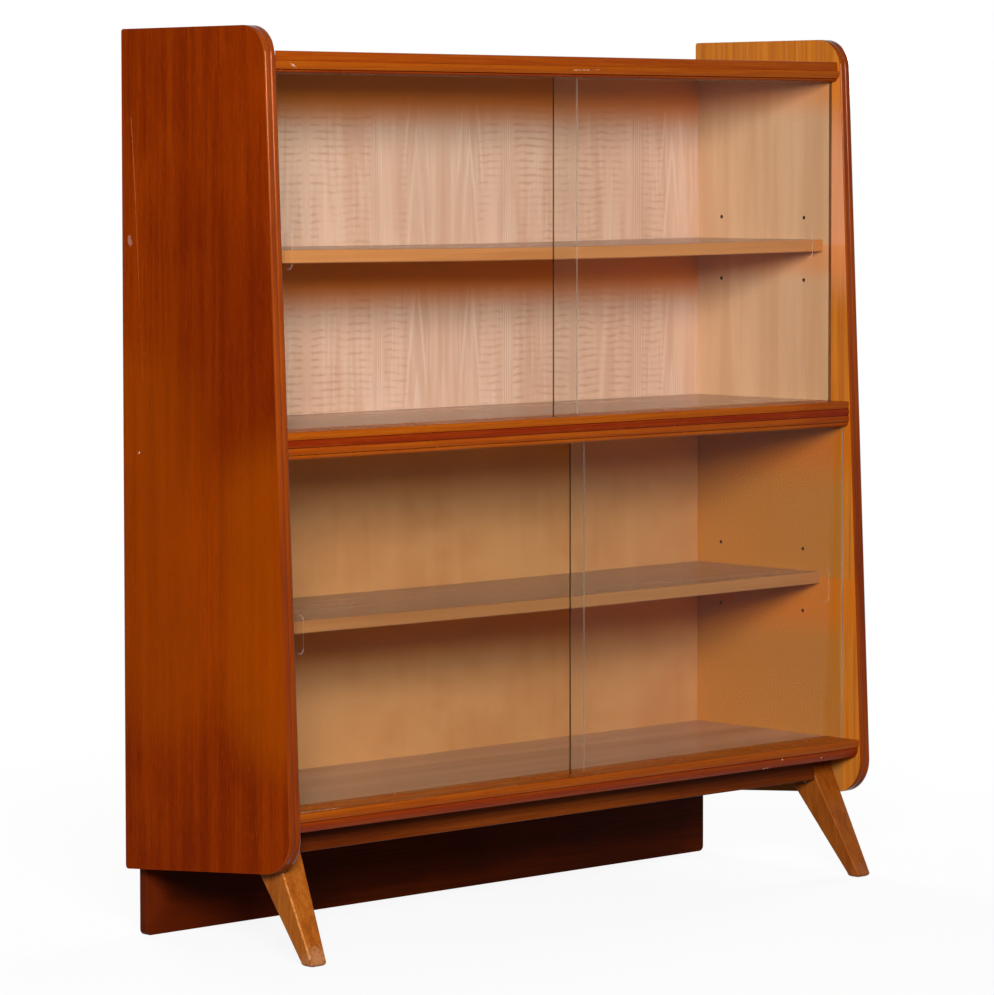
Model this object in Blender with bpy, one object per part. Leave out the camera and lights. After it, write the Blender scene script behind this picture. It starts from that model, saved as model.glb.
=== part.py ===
"""Free-standing bookcase with two pairs of sliding glass doors.

Two raked side boards carry a top, a middle and a bottom board, each with a
reeded front moulding that holds the tracks of the glass panes.  One loose
shelf lies on four pins in each of the two compartments.  Two tapered front
legs and one rear plinth board carry the carcass.

Metres, +X to the viewer's right, +Z up, front towards -Y.  The origin is the
bottom centre of the whole object.
"""

import math

import bmesh
import bpy
from mathutils import Matrix

# Overall
WIDTH = 1.150
HEIGHT = 1.2472
DEPTH = 0.3645
BACK_Y = DEPTH / 2

# Clearances
GAP = 0.0003
OVERRUN = 0.004
MERGE_DISTANCE = GAP / 10
SHARP_ANGLE = math.radians(36.0)

# Side boards
SIDE_THICKNESS = 0.0200
SIDE_TOP_DEPTH = 0.2990
SIDE_BOTTOM_DEPTH = 0.3483
SIDE_REAR_FOOT_Z = 0.0938
SIDE_FRONT_FOOT_Z = 0.1240
SIDE_TOP_FRONT_RADIUS = 0.044
SIDE_BOTTOM_FRONT_RADIUS = 0.052
SIDE_TOP_REAR_RADIUS = 0.004
SIDE_BOTTOM_REAR_RADIUS = 0.005
SIDE_FRONT_ARC_STEPS = 9
SIDE_REAR_ARC_STEPS = 2
SIDE_RISE = 0.0339
SIDE_BEAD_DEPTH = 0.0030
SIDE_BEAD_COUNT = 2
SIDE_BEAD_FULLNESS_SHARE = 0.92
SIDE_BEAD_STATION_SHARES = (-1.0, -0.82, -0.45, 0.0, 0.45, 0.82, 1.0)
INNER_X = WIDTH / 2 - SIDE_THICKNESS

# Boards
BOARD_THICKNESS = 0.0200
TOP_Z = HEIGHT - SIDE_RISE
MIDDLE_Z = 0.7081
BOTTOM_Z = 0.2022

# Front mouldings
TOP_MOULDING_HEIGHT = 0.0295
TOP_MOULDING_FRONT = 0.2986
TOP_MOULDING_REAR = 0.2446
TOP_MOULDING_RELIEF = 0.0110
MIDDLE_MOULDING_HEIGHT = 0.0373
MIDDLE_MOULDING_FRONT = 0.3174
MIDDLE_MOULDING_REAR = 0.2606
MIDDLE_MOULDING_RELIEF = 0.0050
BOTTOM_MOULDING_HEIGHT = 0.0258
BOTTOM_MOULDING_FRONT = 0.3420
BOTTOM_MOULDING_REAR = 0.2724
BOTTOM_MOULDING_RELIEF = 0.0082
MOULDING_GROOVE_DEPTH = 0.0014
MOULDING_EASE = 0.0010
# Each band: start and end down the height, setback at start and end, crown.
TOP_BAND_SHARES = (
    (0.00, 0.44, 0.57, 0.39, 0.05),
    (0.455, 0.815, 0.04, 0.31, 0.09),
    (0.865, 1.00, 0.55, 1.00, 0.14),
)
MIDDLE_BAND_SHARES = (
    (0.00, 0.275, 0.02, 0.16, 0.10),
    (0.305, 0.555, 0.14, 0.14, 0.20),
    (0.585, 0.815, 0.10, 0.14, 0.28),
    (0.85, 1.00, 0.30, 0.96, 0.24),
)
BOTTOM_BAND_SHARES = (
    (0.00, 0.45, 0.02, 0.34, 0.09),
    (0.51, 1.00, 0.36, 0.98, 0.14),
)
BAND_ARC_STEPS = 4

# Glass
GLASS_THICKNESS = 0.0040
GLASS_EDGE_EASE = 0.0005
TRACK_CLEARANCE = 0.0005
TRACK_DEPTH = 0.0040
TRACK_PITCH = 0.0085
GLASS_LAP_ABOVE = 0.0050
UPPER_TRACK_DEPTH = 0.0100
UPPER_GLASS_FRONT = 0.2795
LOWER_GLASS_FRONT = 0.3080
UPPER_GLASS_OVERLAP = 0.0540
LOWER_GLASS_OVERLAP = 0.0350
UPPER_MEETING_X = 0.0050
LOWER_MEETING_X = 0.0005
GLASS_SIDE_CLEARANCE = 0.0005
PULL_WIDTH = 0.0130
PULL_HEIGHT = 0.0520
PULL_DEPTH = 0.0015
UPPER_PULL_INSET = 0.0450
LOWER_PULL_INSET = 0.0380
UPPER_PULL_Z = 0.9488
LOWER_PULL_Z = 0.4358
PULL_ARC_STEPS = 6

# Back
REBATE_DEPTH = 0.0048
REBATE_WIDTH = 0.0080
BACK_THICKNESS = 0.0040
BACK_TOP_MARGIN = 0.0020
BACK_BOTTOM_LAP = 0.0100
BACK_SCREW_SINK = 0.0003
BACK_SCREW_SHANK_RADIUS = 0.0015
BACK_SCREW_HEAD_RADIUS = 0.0032
BACK_SCREW_HEAD_HEIGHT = 0.0018
BACK_SCREW_LENGTH = 0.0200
BACK_SCREW_SHARES = (-0.8, 0.0, 0.8)

# Shelves and pins
SHELF_THICKNESS = 0.0180
SHELF_END_CLEARANCE = 0.0008
SHELF_REAR_CLEARANCE = 0.0012
SHELF_EDGE_RADIUS = 0.0020
SHELF_EDGE_STEPS = 3
UPPER_SHELF_FRONT = 0.2640
LOWER_SHELF_FRONT = 0.2595
PIN_RADIUS = 0.0025
PIN_LENGTH = 0.0200
PIN_SET_DEPTH = 0.0100
PIN_EDGE_EASE = 0.0006
PIN_SEAT = 0.0035
PIN_SEGMENTS = 12
PIN_FRONT_DEPTH = 0.2251
PIN_REAR_DEPTH = 0.0547
UPPER_PIN_Z = 0.9343
LOWER_PIN_Z = 0.4349
PIN_ROW_PITCH = 0.0469
PIN_ROWS = (-1, 0, 1)

# Legs
LEG_TOP_FRONT = 0.2772
LEG_TOP_SIZE = 0.0666
LEG_FOOT_SIZE = 0.0232
LEG_TOP_THICKNESS = 0.0475
LEG_FOOT_THICKNESS = 0.0270
LEG_EDGE_RADIUS = 0.0030
LEG_EDGE_STEPS = 2
LEG_FOOT_ROUND = 0.0050
LEG_FOOT_SHARES = (0.0, 0.3)
LEG_SCREW_SHARES = (0.775, 0.905)
LEG_SCREW_SHANK_RADIUS = 0.00225
LEG_SCREW_HEAD_RADIUS = 0.0045
LEG_SCREW_HEAD_HEIGHT = 0.0026
LEG_SCREW_SINK = 0.0020
LEG_SCREW_BITE = 0.0120

# Apron and plinth
APRON_FRONT = 0.2925
APRON_THICKNESS = 0.0180
APRON_BOTTOM_Z = 0.1417
APRON_EASE = 0.0015
PLINTH_THICKNESS = 0.0150
PLINTH_REAR = 0.0048
PLINTH_CORNER_RADIUS = 0.0080
PLINTH_CORNER_STEPS = 4

# Dowels
DOWEL_RADIUS = 0.0040
DOWEL_LENGTH = 0.0320
DOWEL_SIDE_BITE = 0.0120
DOWEL_EDGE_EASE = 0.0010
DOWEL_SEGMENTS = 10
DOWEL_DEPTH_SHARES = (0.2, 0.8)
RAIL_DOWEL_BITE = 0.0120
RAIL_DOWEL_SHARES = (-0.6, 0.6)

# Derived levels
TOP_UNDERSIDE = TOP_Z - TOP_MOULDING_HEIGHT
MIDDLE_UNDERSIDE = MIDDLE_Z - MIDDLE_MOULDING_HEIGHT
BOTTOM_UNDERSIDE = BOTTOM_Z - BOTTOM_MOULDING_HEIGHT
BOTTOM_BOARD_UNDERSIDE = BOTTOM_Z - BOARD_THICKNESS
LEG_TOP_Z = BOTTOM_UNDERSIDE - GAP
BACK_TOP = TOP_Z - BACK_TOP_MARGIN
BACK_BOTTOM = BOTTOM_BOARD_UNDERSIDE - BACK_BOTTOM_LAP
BACK_FRONT = REBATE_DEPTH - GAP
BACK_REAR = BACK_FRONT - BACK_THICKNESS
BOARD_REAR = REBATE_DEPTH
BOARD_HALF = INNER_X - GAP


# Helpers
def clear_scene():
    for item in list(bpy.data.objects):
        bpy.data.objects.remove(item, do_unlink=True)


def make_material(name, color, roughness, metallic, transmission=0.0):
    material = bpy.data.materials.new(name)
    material.use_nodes = True
    shader = material.node_tree.nodes["Principled BSDF"]
    shader.inputs["Base Color"].default_value = (color[0], color[1], color[2], 1.0)
    shader.inputs["Roughness"].default_value = roughness
    shader.inputs["Metallic"].default_value = metallic
    shader.inputs["Transmission Weight"].default_value = transmission
    return material


def stained_side_material():
    return make_material("stained_mahogany", (0.30, 0.055, 0.008), 0.28, 0.0)


def moulding_material():
    return make_material("polished_moulding", (0.33, 0.075, 0.010), 0.25, 0.0)


def board_material():
    return make_material("board_veneer", (0.42, 0.26, 0.16), 0.40, 0.0)


def back_material():
    return make_material("figured_back_veneer", (0.62, 0.42, 0.27), 0.45, 0.0)


def shelf_material():
    return make_material("shelf_veneer", (0.45, 0.24, 0.11), 0.38, 0.0)


def leg_material():
    return make_material("beech_leg", (0.36, 0.12, 0.03), 0.40, 0.0)


def plinth_material():
    return make_material("dark_plinth", (0.030, 0.006, 0.002), 0.45, 0.0)


def apron_material():
    return make_material("apron_wood", (0.12, 0.030, 0.008), 0.40, 0.0)


def glass_material():
    return make_material("clear_glass", (0.90, 0.96, 0.94), 0.03, 0.0, 1.0)


def steel_material(name):
    return make_material(name, (0.42, 0.40, 0.38), 0.35, 1.0)


def pin_material():
    return make_material("pin_brass", (0.55, 0.38, 0.16), 0.35, 1.0)


def dowel_material():
    return make_material("dowel_beech", (0.60, 0.42, 0.25), 0.60, 0.0)


def add_empty(name, location, parent=None):
    empty = bpy.data.objects.new(name, None)
    empty.location = location
    empty.parent = parent
    bpy.context.scene.collection.objects.link(empty)
    return empty


def add_object(name, mesh, location, parent=None, material=None):
    item = bpy.data.objects.new(name, mesh)
    item.location = location
    item.parent = parent
    bpy.context.scene.collection.objects.link(item)
    if material is not None and not mesh.materials:
        mesh.materials.append(material)
    return item


def finish_mesh(name, builder):
    bmesh.ops.recalc_face_normals(builder, faces=builder.faces)
    mesh = bpy.data.meshes.new(name)
    builder.to_mesh(mesh)
    builder.free()
    return mesh


def smooth_round_faces(mesh):
    """Shade curved runs smooth and keep real corners sharp."""
    mesh.shade_smooth()
    mesh.set_sharp_from_angle(angle=SHARP_ANGLE)


def prism_mesh(name, points, axis, start, end):
    """Closed prism: a flat outline of (u, v) points pushed along one axis.

    Axis 0 reads the points as (Y, Z), axis 1 as (X, Z) and axis 2 as (X, Y).
    """
    builder = bmesh.new()
    others = [index for index in range(3) if index != axis]
    corners = []
    for point in points:
        place = [0.0, 0.0, 0.0]
        place[others[0]] = point[0]
        place[others[1]] = point[1]
        place[axis] = start
        corners.append(builder.verts.new(place))
    face = builder.faces.new(corners)
    pushed = bmesh.ops.extrude_face_region(builder, geom=[face])
    moved = [item for item in pushed["geom"] if isinstance(item, bmesh.types.BMVert)]
    step = [0.0, 0.0, 0.0]
    step[axis] = end - start
    bmesh.ops.translate(builder, verts=moved, vec=step)
    return finish_mesh(name, builder)


def turned_mesh(name, profile, segments):
    """Closed round piece: (radius, height) points spun about the Z axis."""
    builder = bmesh.new()
    chain = [builder.verts.new((radius, 0.0, height)) for radius, height in profile]
    edges = [builder.edges.new(pair) for pair in zip(chain, chain[1:])]
    bmesh.ops.spin(
        builder,
        geom=chain + edges,
        cent=(0.0, 0.0, 0.0),
        axis=(0.0, 0.0, 1.0),
        angle=2.0 * math.pi,
        steps=segments,
        use_merge=True,
    )
    bmesh.ops.remove_doubles(builder, verts=builder.verts, dist=MERGE_DISTANCE)
    mesh = finish_mesh(name, builder)
    smooth_round_faces(mesh)
    return mesh


def arc_points(center, radius, start, end, steps):
    points = []
    for index in range(steps + 1):
        angle = start + (end - start) * index / steps
        points.append((center[0] + radius * math.cos(angle), center[1] + radius * math.sin(angle)))
    return points


def hide_cutter(cutter):
    cutter.hide_render = True
    cutter.display_type = "WIRE"


def cut(target, cutters, solver="EXACT"):
    """Subtract every cutter from the target."""
    for cutter in cutters:
        hide_cutter(cutter)
        modifier = target.modifiers.new("cut_" + cutter.name, "BOOLEAN")
        modifier.operation = "DIFFERENCE"
        modifier.solver = solver
        modifier.object = cutter


def joined_cutter(name, meshes_and_places, parent):
    """One cutter made of several separate closed shapes.

    Each entry is a mesh with the matrix that puts it in place.
    """
    builder = bmesh.new()
    for mesh, matrix in meshes_and_places:
        known = set(builder.verts)
        builder.from_mesh(mesh)
        fresh = [vert for vert in builder.verts if vert not in known]
        bmesh.ops.transform(builder, matrix=matrix, verts=fresh)
    cutter = add_object(name, finish_mesh(name, builder), (0.0, 0.0, 0.0), parent)
    hide_cutter(cutter)
    return cutter


# Side boards
def fillet(before, corner, after, radius, steps):
    """Round one corner of an outline: (point, inward direction) along the arc."""
    def unit(start, end):
        length = math.hypot(end[0] - start[0], end[1] - start[1])
        return (end[0] - start[0]) / length, (end[1] - start[1]) / length

    back = unit(corner, before)
    ahead = unit(corner, after)
    half = math.acos(back[0] * ahead[0] + back[1] * ahead[1]) / 2.0
    middle = unit((0.0, 0.0), (back[0] + ahead[0], back[1] + ahead[1]))
    reach = radius / math.sin(half)
    centre = (corner[0] + middle[0] * reach, corner[1] + middle[1] * reach)
    touch = radius / math.tan(half)
    first = (corner[0] + back[0] * touch, corner[1] + back[1] * touch)
    start = math.atan2(first[1] - centre[1], first[0] - centre[0])
    sweep = math.pi - 2.0 * half
    points = []
    for index in range(steps + 1):
        angle = start + sweep * index / steps
        outward = (math.cos(angle), math.sin(angle))
        place = (centre[0] + radius * outward[0], centre[1] + radius * outward[1])
        points.append((place, (-outward[0], -outward[1])))
    return points


def side_outline():
    """Outline of a side board in (depth, Z) with the weight of its front bead."""
    corners = (
        (0.0, SIDE_REAR_FOOT_Z),
        (SIDE_BOTTOM_DEPTH, SIDE_FRONT_FOOT_Z),
        (SIDE_TOP_DEPTH, HEIGHT),
        (0.0, HEIGHT),
    )
    radii = (
        SIDE_BOTTOM_REAR_RADIUS,
        SIDE_BOTTOM_FRONT_RADIUS,
        SIDE_TOP_FRONT_RADIUS,
        SIDE_TOP_REAR_RADIUS,
    )
    steps = (
        SIDE_REAR_ARC_STEPS,
        SIDE_FRONT_ARC_STEPS,
        SIDE_FRONT_ARC_STEPS,
        SIDE_REAR_ARC_STEPS,
    )
    outline = []
    for index, corner in enumerate(corners):
        before = corners[index - 1]
        after = corners[(index + 1) % len(corners)]
        arc = fillet(before, corner, after, radii[index], steps[index])
        for number, (place, inward) in enumerate(arc):
            turn = number / steps[index] * math.pi / 2.0
            weight = (0.0, math.sin(turn), math.cos(turn), 0.0)[index]
            outline.append((place, inward, weight))
    return outline


def bead_stations():
    """Places across the thickness with the inset of the beaded edge there."""
    width = SIDE_THICKNESS / SIDE_BEAD_COUNT
    full = 1.0 - math.sqrt(1.0 - SIDE_BEAD_FULLNESS_SHARE ** 2)
    stations = []
    for bead in range(SIDE_BEAD_COUNT):
        for share in SIDE_BEAD_STATION_SHARES:
            if bead > 0 and share == SIDE_BEAD_STATION_SHARES[0]:
                continue
            across = (bead + (share + 1.0) / 2.0) * width - SIDE_THICKNESS / 2.0
            fall = 1.0 - math.sqrt(1.0 - (share * SIDE_BEAD_FULLNESS_SHARE) ** 2)
            stations.append((across, SIDE_BEAD_DEPTH * fall / full))
    return stations


def side_mesh():
    """Board lofted across its thickness, so that the beads follow its corners."""
    outline = side_outline()
    builder = bmesh.new()
    rings = []
    for across, inset in bead_stations():
        ring = []
        for place, inward, weight in outline:
            depth = place[0] + inward[0] * inset * weight
            level = place[1] + inward[1] * inset * weight
            ring.append(builder.verts.new((across, -depth, level)))
        rings.append(ring)
    builder.faces.new(rings[0])
    builder.faces.new(rings[-1])
    count = len(outline)
    for lower, upper in zip(rings, rings[1:]):
        for index in range(count):
            after = (index + 1) % count
            builder.faces.new((lower[index], lower[after], upper[after], upper[index]))
    mesh = finish_mesh("side_board", builder)
    smooth_round_faces(mesh)
    return mesh


def pin_places():
    """(Z, depth) of every drilled pin hole of one side."""
    places = []
    for level in (UPPER_PIN_Z, LOWER_PIN_Z):
        for row in PIN_ROWS:
            for depth in (PIN_REAR_DEPTH, PIN_FRONT_DEPTH):
                places.append((level + row * PIN_ROW_PITCH, depth))
    return places


def bore_mesh(name, radius, start, end, segments):
    """Plain cylinder along Z between two heights."""
    return turned_mesh(name, ((0.0, start), (radius, start), (radius, end), (0.0, end)), segments)


def eased_rod_mesh(name, radius, length, ease, segments):
    half = length / 2.0
    profile = (
        (0.0, -half),
        (radius - ease, -half),
        (radius, ease - half),
        (radius, half - ease),
        (radius - ease, half),
        (0.0, half),
    )
    return turned_mesh(name, profile, segments)


def side_bore_cutter(sign, root):
    """Pin holes, dowel holes, screw holes and the rebate of one side board."""
    pin_bore = bore_mesh("pin_bore", PIN_RADIUS + GAP, -OVERRUN, PIN_SET_DEPTH + GAP, PIN_SEGMENTS)
    dowel_bore = bore_mesh("dowel_bore", DOWEL_RADIUS + GAP, -OVERRUN, DOWEL_SIDE_BITE + GAP, DOWEL_SEGMENTS)
    shapes = []
    turn = Matrix.Rotation(sign * math.pi / 2.0, 4, "Y")
    for level, depth in pin_places():
        shapes.append((pin_bore, Matrix.Translation((sign * INNER_X, -depth, level)) @ turn))
    for level, depth in board_dowel_places():
        shapes.append((dowel_bore, Matrix.Translation((sign * INNER_X, -depth, level)) @ turn))
    for share in LEG_SCREW_SHARES:
        shapes.append((leg_screw_bore_mesh(share), leg_screw_matrix(sign, share)))
    side = "right" if sign > 0 else "left"
    return joined_cutter("cutter_side_bores_" + side, shapes, root)


def rebate_cutter(sign, root):
    side = "right" if sign > 0 else "left"
    inner = sign * (INNER_X - OVERRUN)
    outer = sign * (INNER_X + REBATE_WIDTH)
    points = (
        (inner, OVERRUN),
        (outer, OVERRUN),
        (outer, -REBATE_DEPTH),
        (inner, -REBATE_DEPTH),
    )
    name = "cutter_rebate_" + side
    mesh = prism_mesh(name, points, 2, BACK_BOTTOM - GAP, BACK_TOP + GAP)
    return add_object(name, mesh, (0.0, 0.0, 0.0), root)


def build_sides(root):
    """Both boards; their wide flat faces with many small bores need the MANIFOLD solver."""
    mesh = side_mesh()
    material = stained_side_material()
    for name, sign in (("side_left", -1), ("side_right", 1)):
        copy = mesh.copy()
        place = (sign * (WIDTH / 2 - SIDE_THICKNESS / 2), 0.0, 0.0)
        side = add_object(name, copy, place, root, material)
        cut(side, (side_bore_cutter(sign, root), rebate_cutter(sign, root)), "MANIFOLD")


# Boards
def board_levels():
    """Top level and front limit of the three fixed boards."""
    return {
        "top": (TOP_Z, TOP_MOULDING_REAR - GAP),
        "middle": (MIDDLE_Z, MIDDLE_MOULDING_REAR - GAP),
        "bottom": (BOTTOM_Z, BOTTOM_MOULDING_REAR - GAP),
    }


def board_dowel_places(only=None):
    """(Z, depth) of the dowels that join the boards to one side."""
    places = []
    for name, (level, front) in board_levels().items():
        if only is not None and name != only:
            continue
        for share in DOWEL_DEPTH_SHARES:
            depth = BOARD_REAR + share * (front - BOARD_REAR)
            places.append((level - BOARD_THICKNESS / 2, depth))
    return places


def screw_profile(shank, head, head_height, length, swell=0.0, overrun=0.0):
    """Countersunk screw along -Z with its head face at zero height."""
    profile = [(0.0, overrun), (head + swell, overrun)]
    if overrun > 0.0:
        profile.append((head + swell, 0.0))
    profile.append((shank + swell, -head_height))
    profile.append((shank + swell, -length - swell))
    profile.append((0.0, -length - swell))
    return profile


def back_screw_matrix(level, share):
    """Place of a back screw, whose head lies just under the panel's rear face."""
    head_depth = BACK_REAR + BACK_SCREW_SINK
    place = (share * INNER_X, -head_depth, level - BOARD_THICKNESS / 2)
    return Matrix.Translation(place) @ Matrix.Rotation(-math.pi / 2.0, 4, "X")


def back_screw_mesh(name, swell=0.0, overrun=0.0):
    profile = screw_profile(
        BACK_SCREW_SHANK_RADIUS,
        BACK_SCREW_HEAD_RADIUS,
        BACK_SCREW_HEAD_HEIGHT,
        BACK_SCREW_LENGTH,
        swell,
        overrun,
    )
    return turned_mesh(name, profile, DOWEL_SEGMENTS)


def build_boards(root, plinth_dowel_cutter):
    """Fixed boards with their end dowels and the screws of the back panel.

    Returns the cutters of the back screws, which also pass through the panel.
    """
    board_look = board_material()
    dowel_look = dowel_material()
    screw_look = steel_material("back_screw_steel")
    dowel = eased_rod_mesh("board_dowel", DOWEL_RADIUS, DOWEL_LENGTH, DOWEL_EDGE_EASE, DOWEL_SEGMENTS)
    inner_bite = DOWEL_LENGTH - DOWEL_SIDE_BITE
    end_bore = bore_mesh("end_bore", DOWEL_RADIUS + GAP, -OVERRUN, inner_bite + GAP, DOWEL_SEGMENTS)
    back_screw = back_screw_mesh("back_screw")
    back_bore = back_screw_mesh("back_screw_bore", GAP, OVERRUN)
    back_cutters = []
    for name, (level, front) in board_levels().items():
        points = (
            (-BOARD_REAR, level),
            (-front, level),
            (-front, level - BOARD_THICKNESS),
            (-BOARD_REAR, level - BOARD_THICKNESS),
        )
        mesh = prism_mesh(name + "_board", points, 0, -BOARD_HALF, BOARD_HALF)
        board = add_object(name + "_board", mesh, (0.0, 0.0, 0.0), root, board_look)
        shapes = []
        for side, sign in (("left", -1), ("right", 1)):
            for place, (height, depth) in zip(("rear", "front"), board_dowel_places(name)):
                inward = Matrix.Rotation(-sign * math.pi / 2.0, 4, "Y")
                shapes.append((end_bore, Matrix.Translation((sign * INNER_X, -depth, height)) @ inward))
                middle = INNER_X + DOWEL_SIDE_BITE - DOWEL_LENGTH / 2
                item = add_object(
                    "dowel_" + name + "_" + side + "_" + place,
                    dowel,
                    (sign * middle, -depth, height),
                    root,
                    dowel_look,
                )
                item.rotation_euler = (0.0, math.pi / 2.0, 0.0)
        cutters = [joined_cutter("cutter_board_ends_" + name, shapes, root)]
        shapes = []
        for number, share in enumerate(BACK_SCREW_SHARES):
            matrix = back_screw_matrix(level, share)
            shapes.append((back_bore, matrix))
            item = add_object(
                "back_screw_" + name + "_" + str(number + 1),
                back_screw,
                matrix.to_translation(),
                root,
                screw_look,
            )
            item.rotation_euler = (-math.pi / 2.0, 0.0, 0.0)
        back_cutter = joined_cutter("cutter_back_screws_" + name, shapes, root)
        cutters.append(back_cutter)
        back_cutters.append(back_cutter)
        if name == "bottom":
            cutters.append(plinth_dowel_cutter)
        cut(board, cutters)
    return back_cutters


def build_back(root, screw_cutters):
    half = INNER_X + REBATE_WIDTH - GAP
    points = (
        (-half, -BACK_FRONT),
        (half, -BACK_FRONT),
        (half, -BACK_REAR),
        (-half, -BACK_REAR),
    )
    mesh = prism_mesh("back_panel", points, 2, BACK_BOTTOM, BACK_TOP)
    back = add_object("back_panel", mesh, (0.0, 0.0, 0.0), root, back_material())
    cut(back, screw_cutters)


# Mouldings
def banded_front(front, top_z, height, relief, bands):
    """Reeded front of a moulding in (depth, Z), from its top to its underside."""
    points = []
    last = None
    for start_share, end_share, start_set, end_set, crown in bands:
        start = (front - relief * start_set, top_z - height * start_share)
        end = (front - relief * end_set, top_z - height * end_share)
        if last is None:
            points.append((start[0] - MOULDING_EASE, start[1]))
            start = (start[0], start[1] - MOULDING_EASE)
        else:
            floor = min(last[0], start[0]) - MOULDING_GROOVE_DEPTH
            points.append((floor, (last[1] + start[1]) / 2.0))
        for index in range(BAND_ARC_STEPS + 1):
            share = index / BAND_ARC_STEPS
            swell = relief * crown * 4.0 * share * (1.0 - share)
            depth = start[0] + (end[0] - start[0]) * share + swell
            points.append((depth, start[1] + (end[1] - start[1]) * share))
        last = end
    return points


def track_slots(glass_front):
    """Front and rear limits of the two track grooves, front groove first."""
    slots = []
    for index in range(2):
        face = glass_front - index * TRACK_PITCH
        slots.append((face + TRACK_CLEARANCE, face - GLASS_THICKNESS - TRACK_CLEARANCE))
    return slots


def moulding_outline(front, rear, top_z, height, relief, bands, glass_above, glass_below):
    points = banded_front(front, top_z, height, relief, bands)
    underside = top_z - height
    if glass_below is not None:
        for near, far in track_slots(glass_below):
            points.append((near, underside))
            points.append((near, underside + UPPER_TRACK_DEPTH))
            points.append((far, underside + UPPER_TRACK_DEPTH))
            points.append((far, underside))
    points.append((rear, underside))
    points.append((rear, top_z))
    if glass_above is not None:
        for near, far in reversed(track_slots(glass_above)):
            points.append((far, top_z))
            points.append((far, top_z - TRACK_DEPTH))
            points.append((near, top_z - TRACK_DEPTH))
            points.append((near, top_z))
    return [(-depth, level) for depth, level in points]


def build_mouldings(root, apron_dowel_cutter):
    look = moulding_material()
    plans = (
        (
            "top_moulding",
            moulding_outline(
                TOP_MOULDING_FRONT,
                TOP_MOULDING_REAR,
                TOP_Z,
                TOP_MOULDING_HEIGHT,
                TOP_MOULDING_RELIEF,
                TOP_BAND_SHARES,
                None,
                UPPER_GLASS_FRONT,
            ),
        ),
        (
            "middle_moulding",
            moulding_outline(
                MIDDLE_MOULDING_FRONT,
                MIDDLE_MOULDING_REAR,
                MIDDLE_Z,
                MIDDLE_MOULDING_HEIGHT,
                MIDDLE_MOULDING_RELIEF,
                MIDDLE_BAND_SHARES,
                UPPER_GLASS_FRONT,
                LOWER_GLASS_FRONT,
            ),
        ),
        (
            "bottom_moulding",
            moulding_outline(
                BOTTOM_MOULDING_FRONT,
                BOTTOM_MOULDING_REAR,
                BOTTOM_Z,
                BOTTOM_MOULDING_HEIGHT,
                BOTTOM_MOULDING_RELIEF,
                BOTTOM_BAND_SHARES,
                LOWER_GLASS_FRONT,
                None,
            ),
        ),
    )
    for name, outline in plans:
        mesh = prism_mesh(name, outline, 0, -BOARD_HALF, BOARD_HALF)
        smooth_round_faces(mesh)
        moulding = add_object(name, mesh, (0.0, 0.0, 0.0), root, look)
        if name == "bottom_moulding":
            cut(moulding, (apron_dowel_cutter,))


# Shelves and pins
def shelf_plans():
    return (
        ("upper", UPPER_PIN_Z, UPPER_SHELF_FRONT),
        ("lower", LOWER_PIN_Z, LOWER_SHELF_FRONT),
    )


def shelf_outline(underside, front):
    """Shelf section in (-depth, Z) with rounded front edges."""
    rear = REBATE_DEPTH + SHELF_REAR_CLEARANCE
    top = underside + SHELF_THICKNESS
    radius = SHELF_EDGE_RADIUS
    quarter = math.pi / 2.0
    steps = SHELF_EDGE_STEPS
    lower = arc_points((radius - front, underside + radius), radius, 3 * quarter, 2 * quarter, steps)
    upper = arc_points((radius - front, top - radius), radius, 2 * quarter, quarter, steps)
    return [(-rear, underside)] + lower + upper + [(-rear, top)]


def notch_outline(depth, level, underside):
    """Round-topped notch around one pin, open at the shelf's underside."""
    radius = PIN_RADIUS + GAP
    arch = arc_points((-depth, level), radius, 0.0, math.pi, PIN_SEGMENTS // 2)
    return [(radius - depth, underside - OVERRUN)] + arch + [(-radius - depth, underside - OVERRUN)]


def build_shelves(root):
    shelf_look = shelf_material()
    pin_look = pin_material()
    pin = eased_rod_mesh("shelf_pin", PIN_RADIUS, PIN_LENGTH, PIN_EDGE_EASE, PIN_SEGMENTS)
    half = INNER_X - SHELF_END_CLEARANCE
    reach = PIN_LENGTH - PIN_SET_DEPTH
    for name, level, front in shelf_plans():
        underside = level - PIN_SEAT
        mesh = prism_mesh("shelf_" + name, shelf_outline(underside, front), 0, -half, half)
        smooth_round_faces(mesh)
        shelf = add_object("shelf_" + name, mesh, (0.0, 0.0, 0.0), root, shelf_look)
        shapes = []
        for side, sign in (("left", -1), ("right", 1)):
            for place, depth in (("rear", PIN_REAR_DEPTH), ("front", PIN_FRONT_DEPTH)):
                notch = prism_mesh(
                    "pin_notch",
                    notch_outline(depth, level, underside),
                    0,
                    sign * (INNER_X - reach - GAP),
                    sign * (INNER_X + OVERRUN),
                )
                shapes.append((notch, Matrix.Identity(4)))
                item = add_object(
                    "shelf_pin_" + name + "_" + side + "_" + place,
                    pin,
                    (sign * (INNER_X - reach + PIN_LENGTH / 2), -depth, level),
                    root,
                    pin_look,
                )
                item.rotation_euler = (0.0, math.pi / 2.0, 0.0)
        cut(shelf, (joined_cutter("cutter_shelf_notches_" + name, shapes, root),))


# Legs
def leg_section(level):
    """Front depth, size front to back and thickness of a leg at one height."""
    share = max(0.0, (level - LEG_FOOT_ROUND) / (LEG_TOP_Z - LEG_FOOT_ROUND))
    front = DEPTH + (LEG_TOP_FRONT - DEPTH) * share
    size = LEG_FOOT_SIZE + (LEG_TOP_SIZE - LEG_FOOT_SIZE) * share
    thickness = LEG_FOOT_THICKNESS + (LEG_TOP_THICKNESS - LEG_FOOT_THICKNESS) * share
    return front, size, thickness


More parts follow.
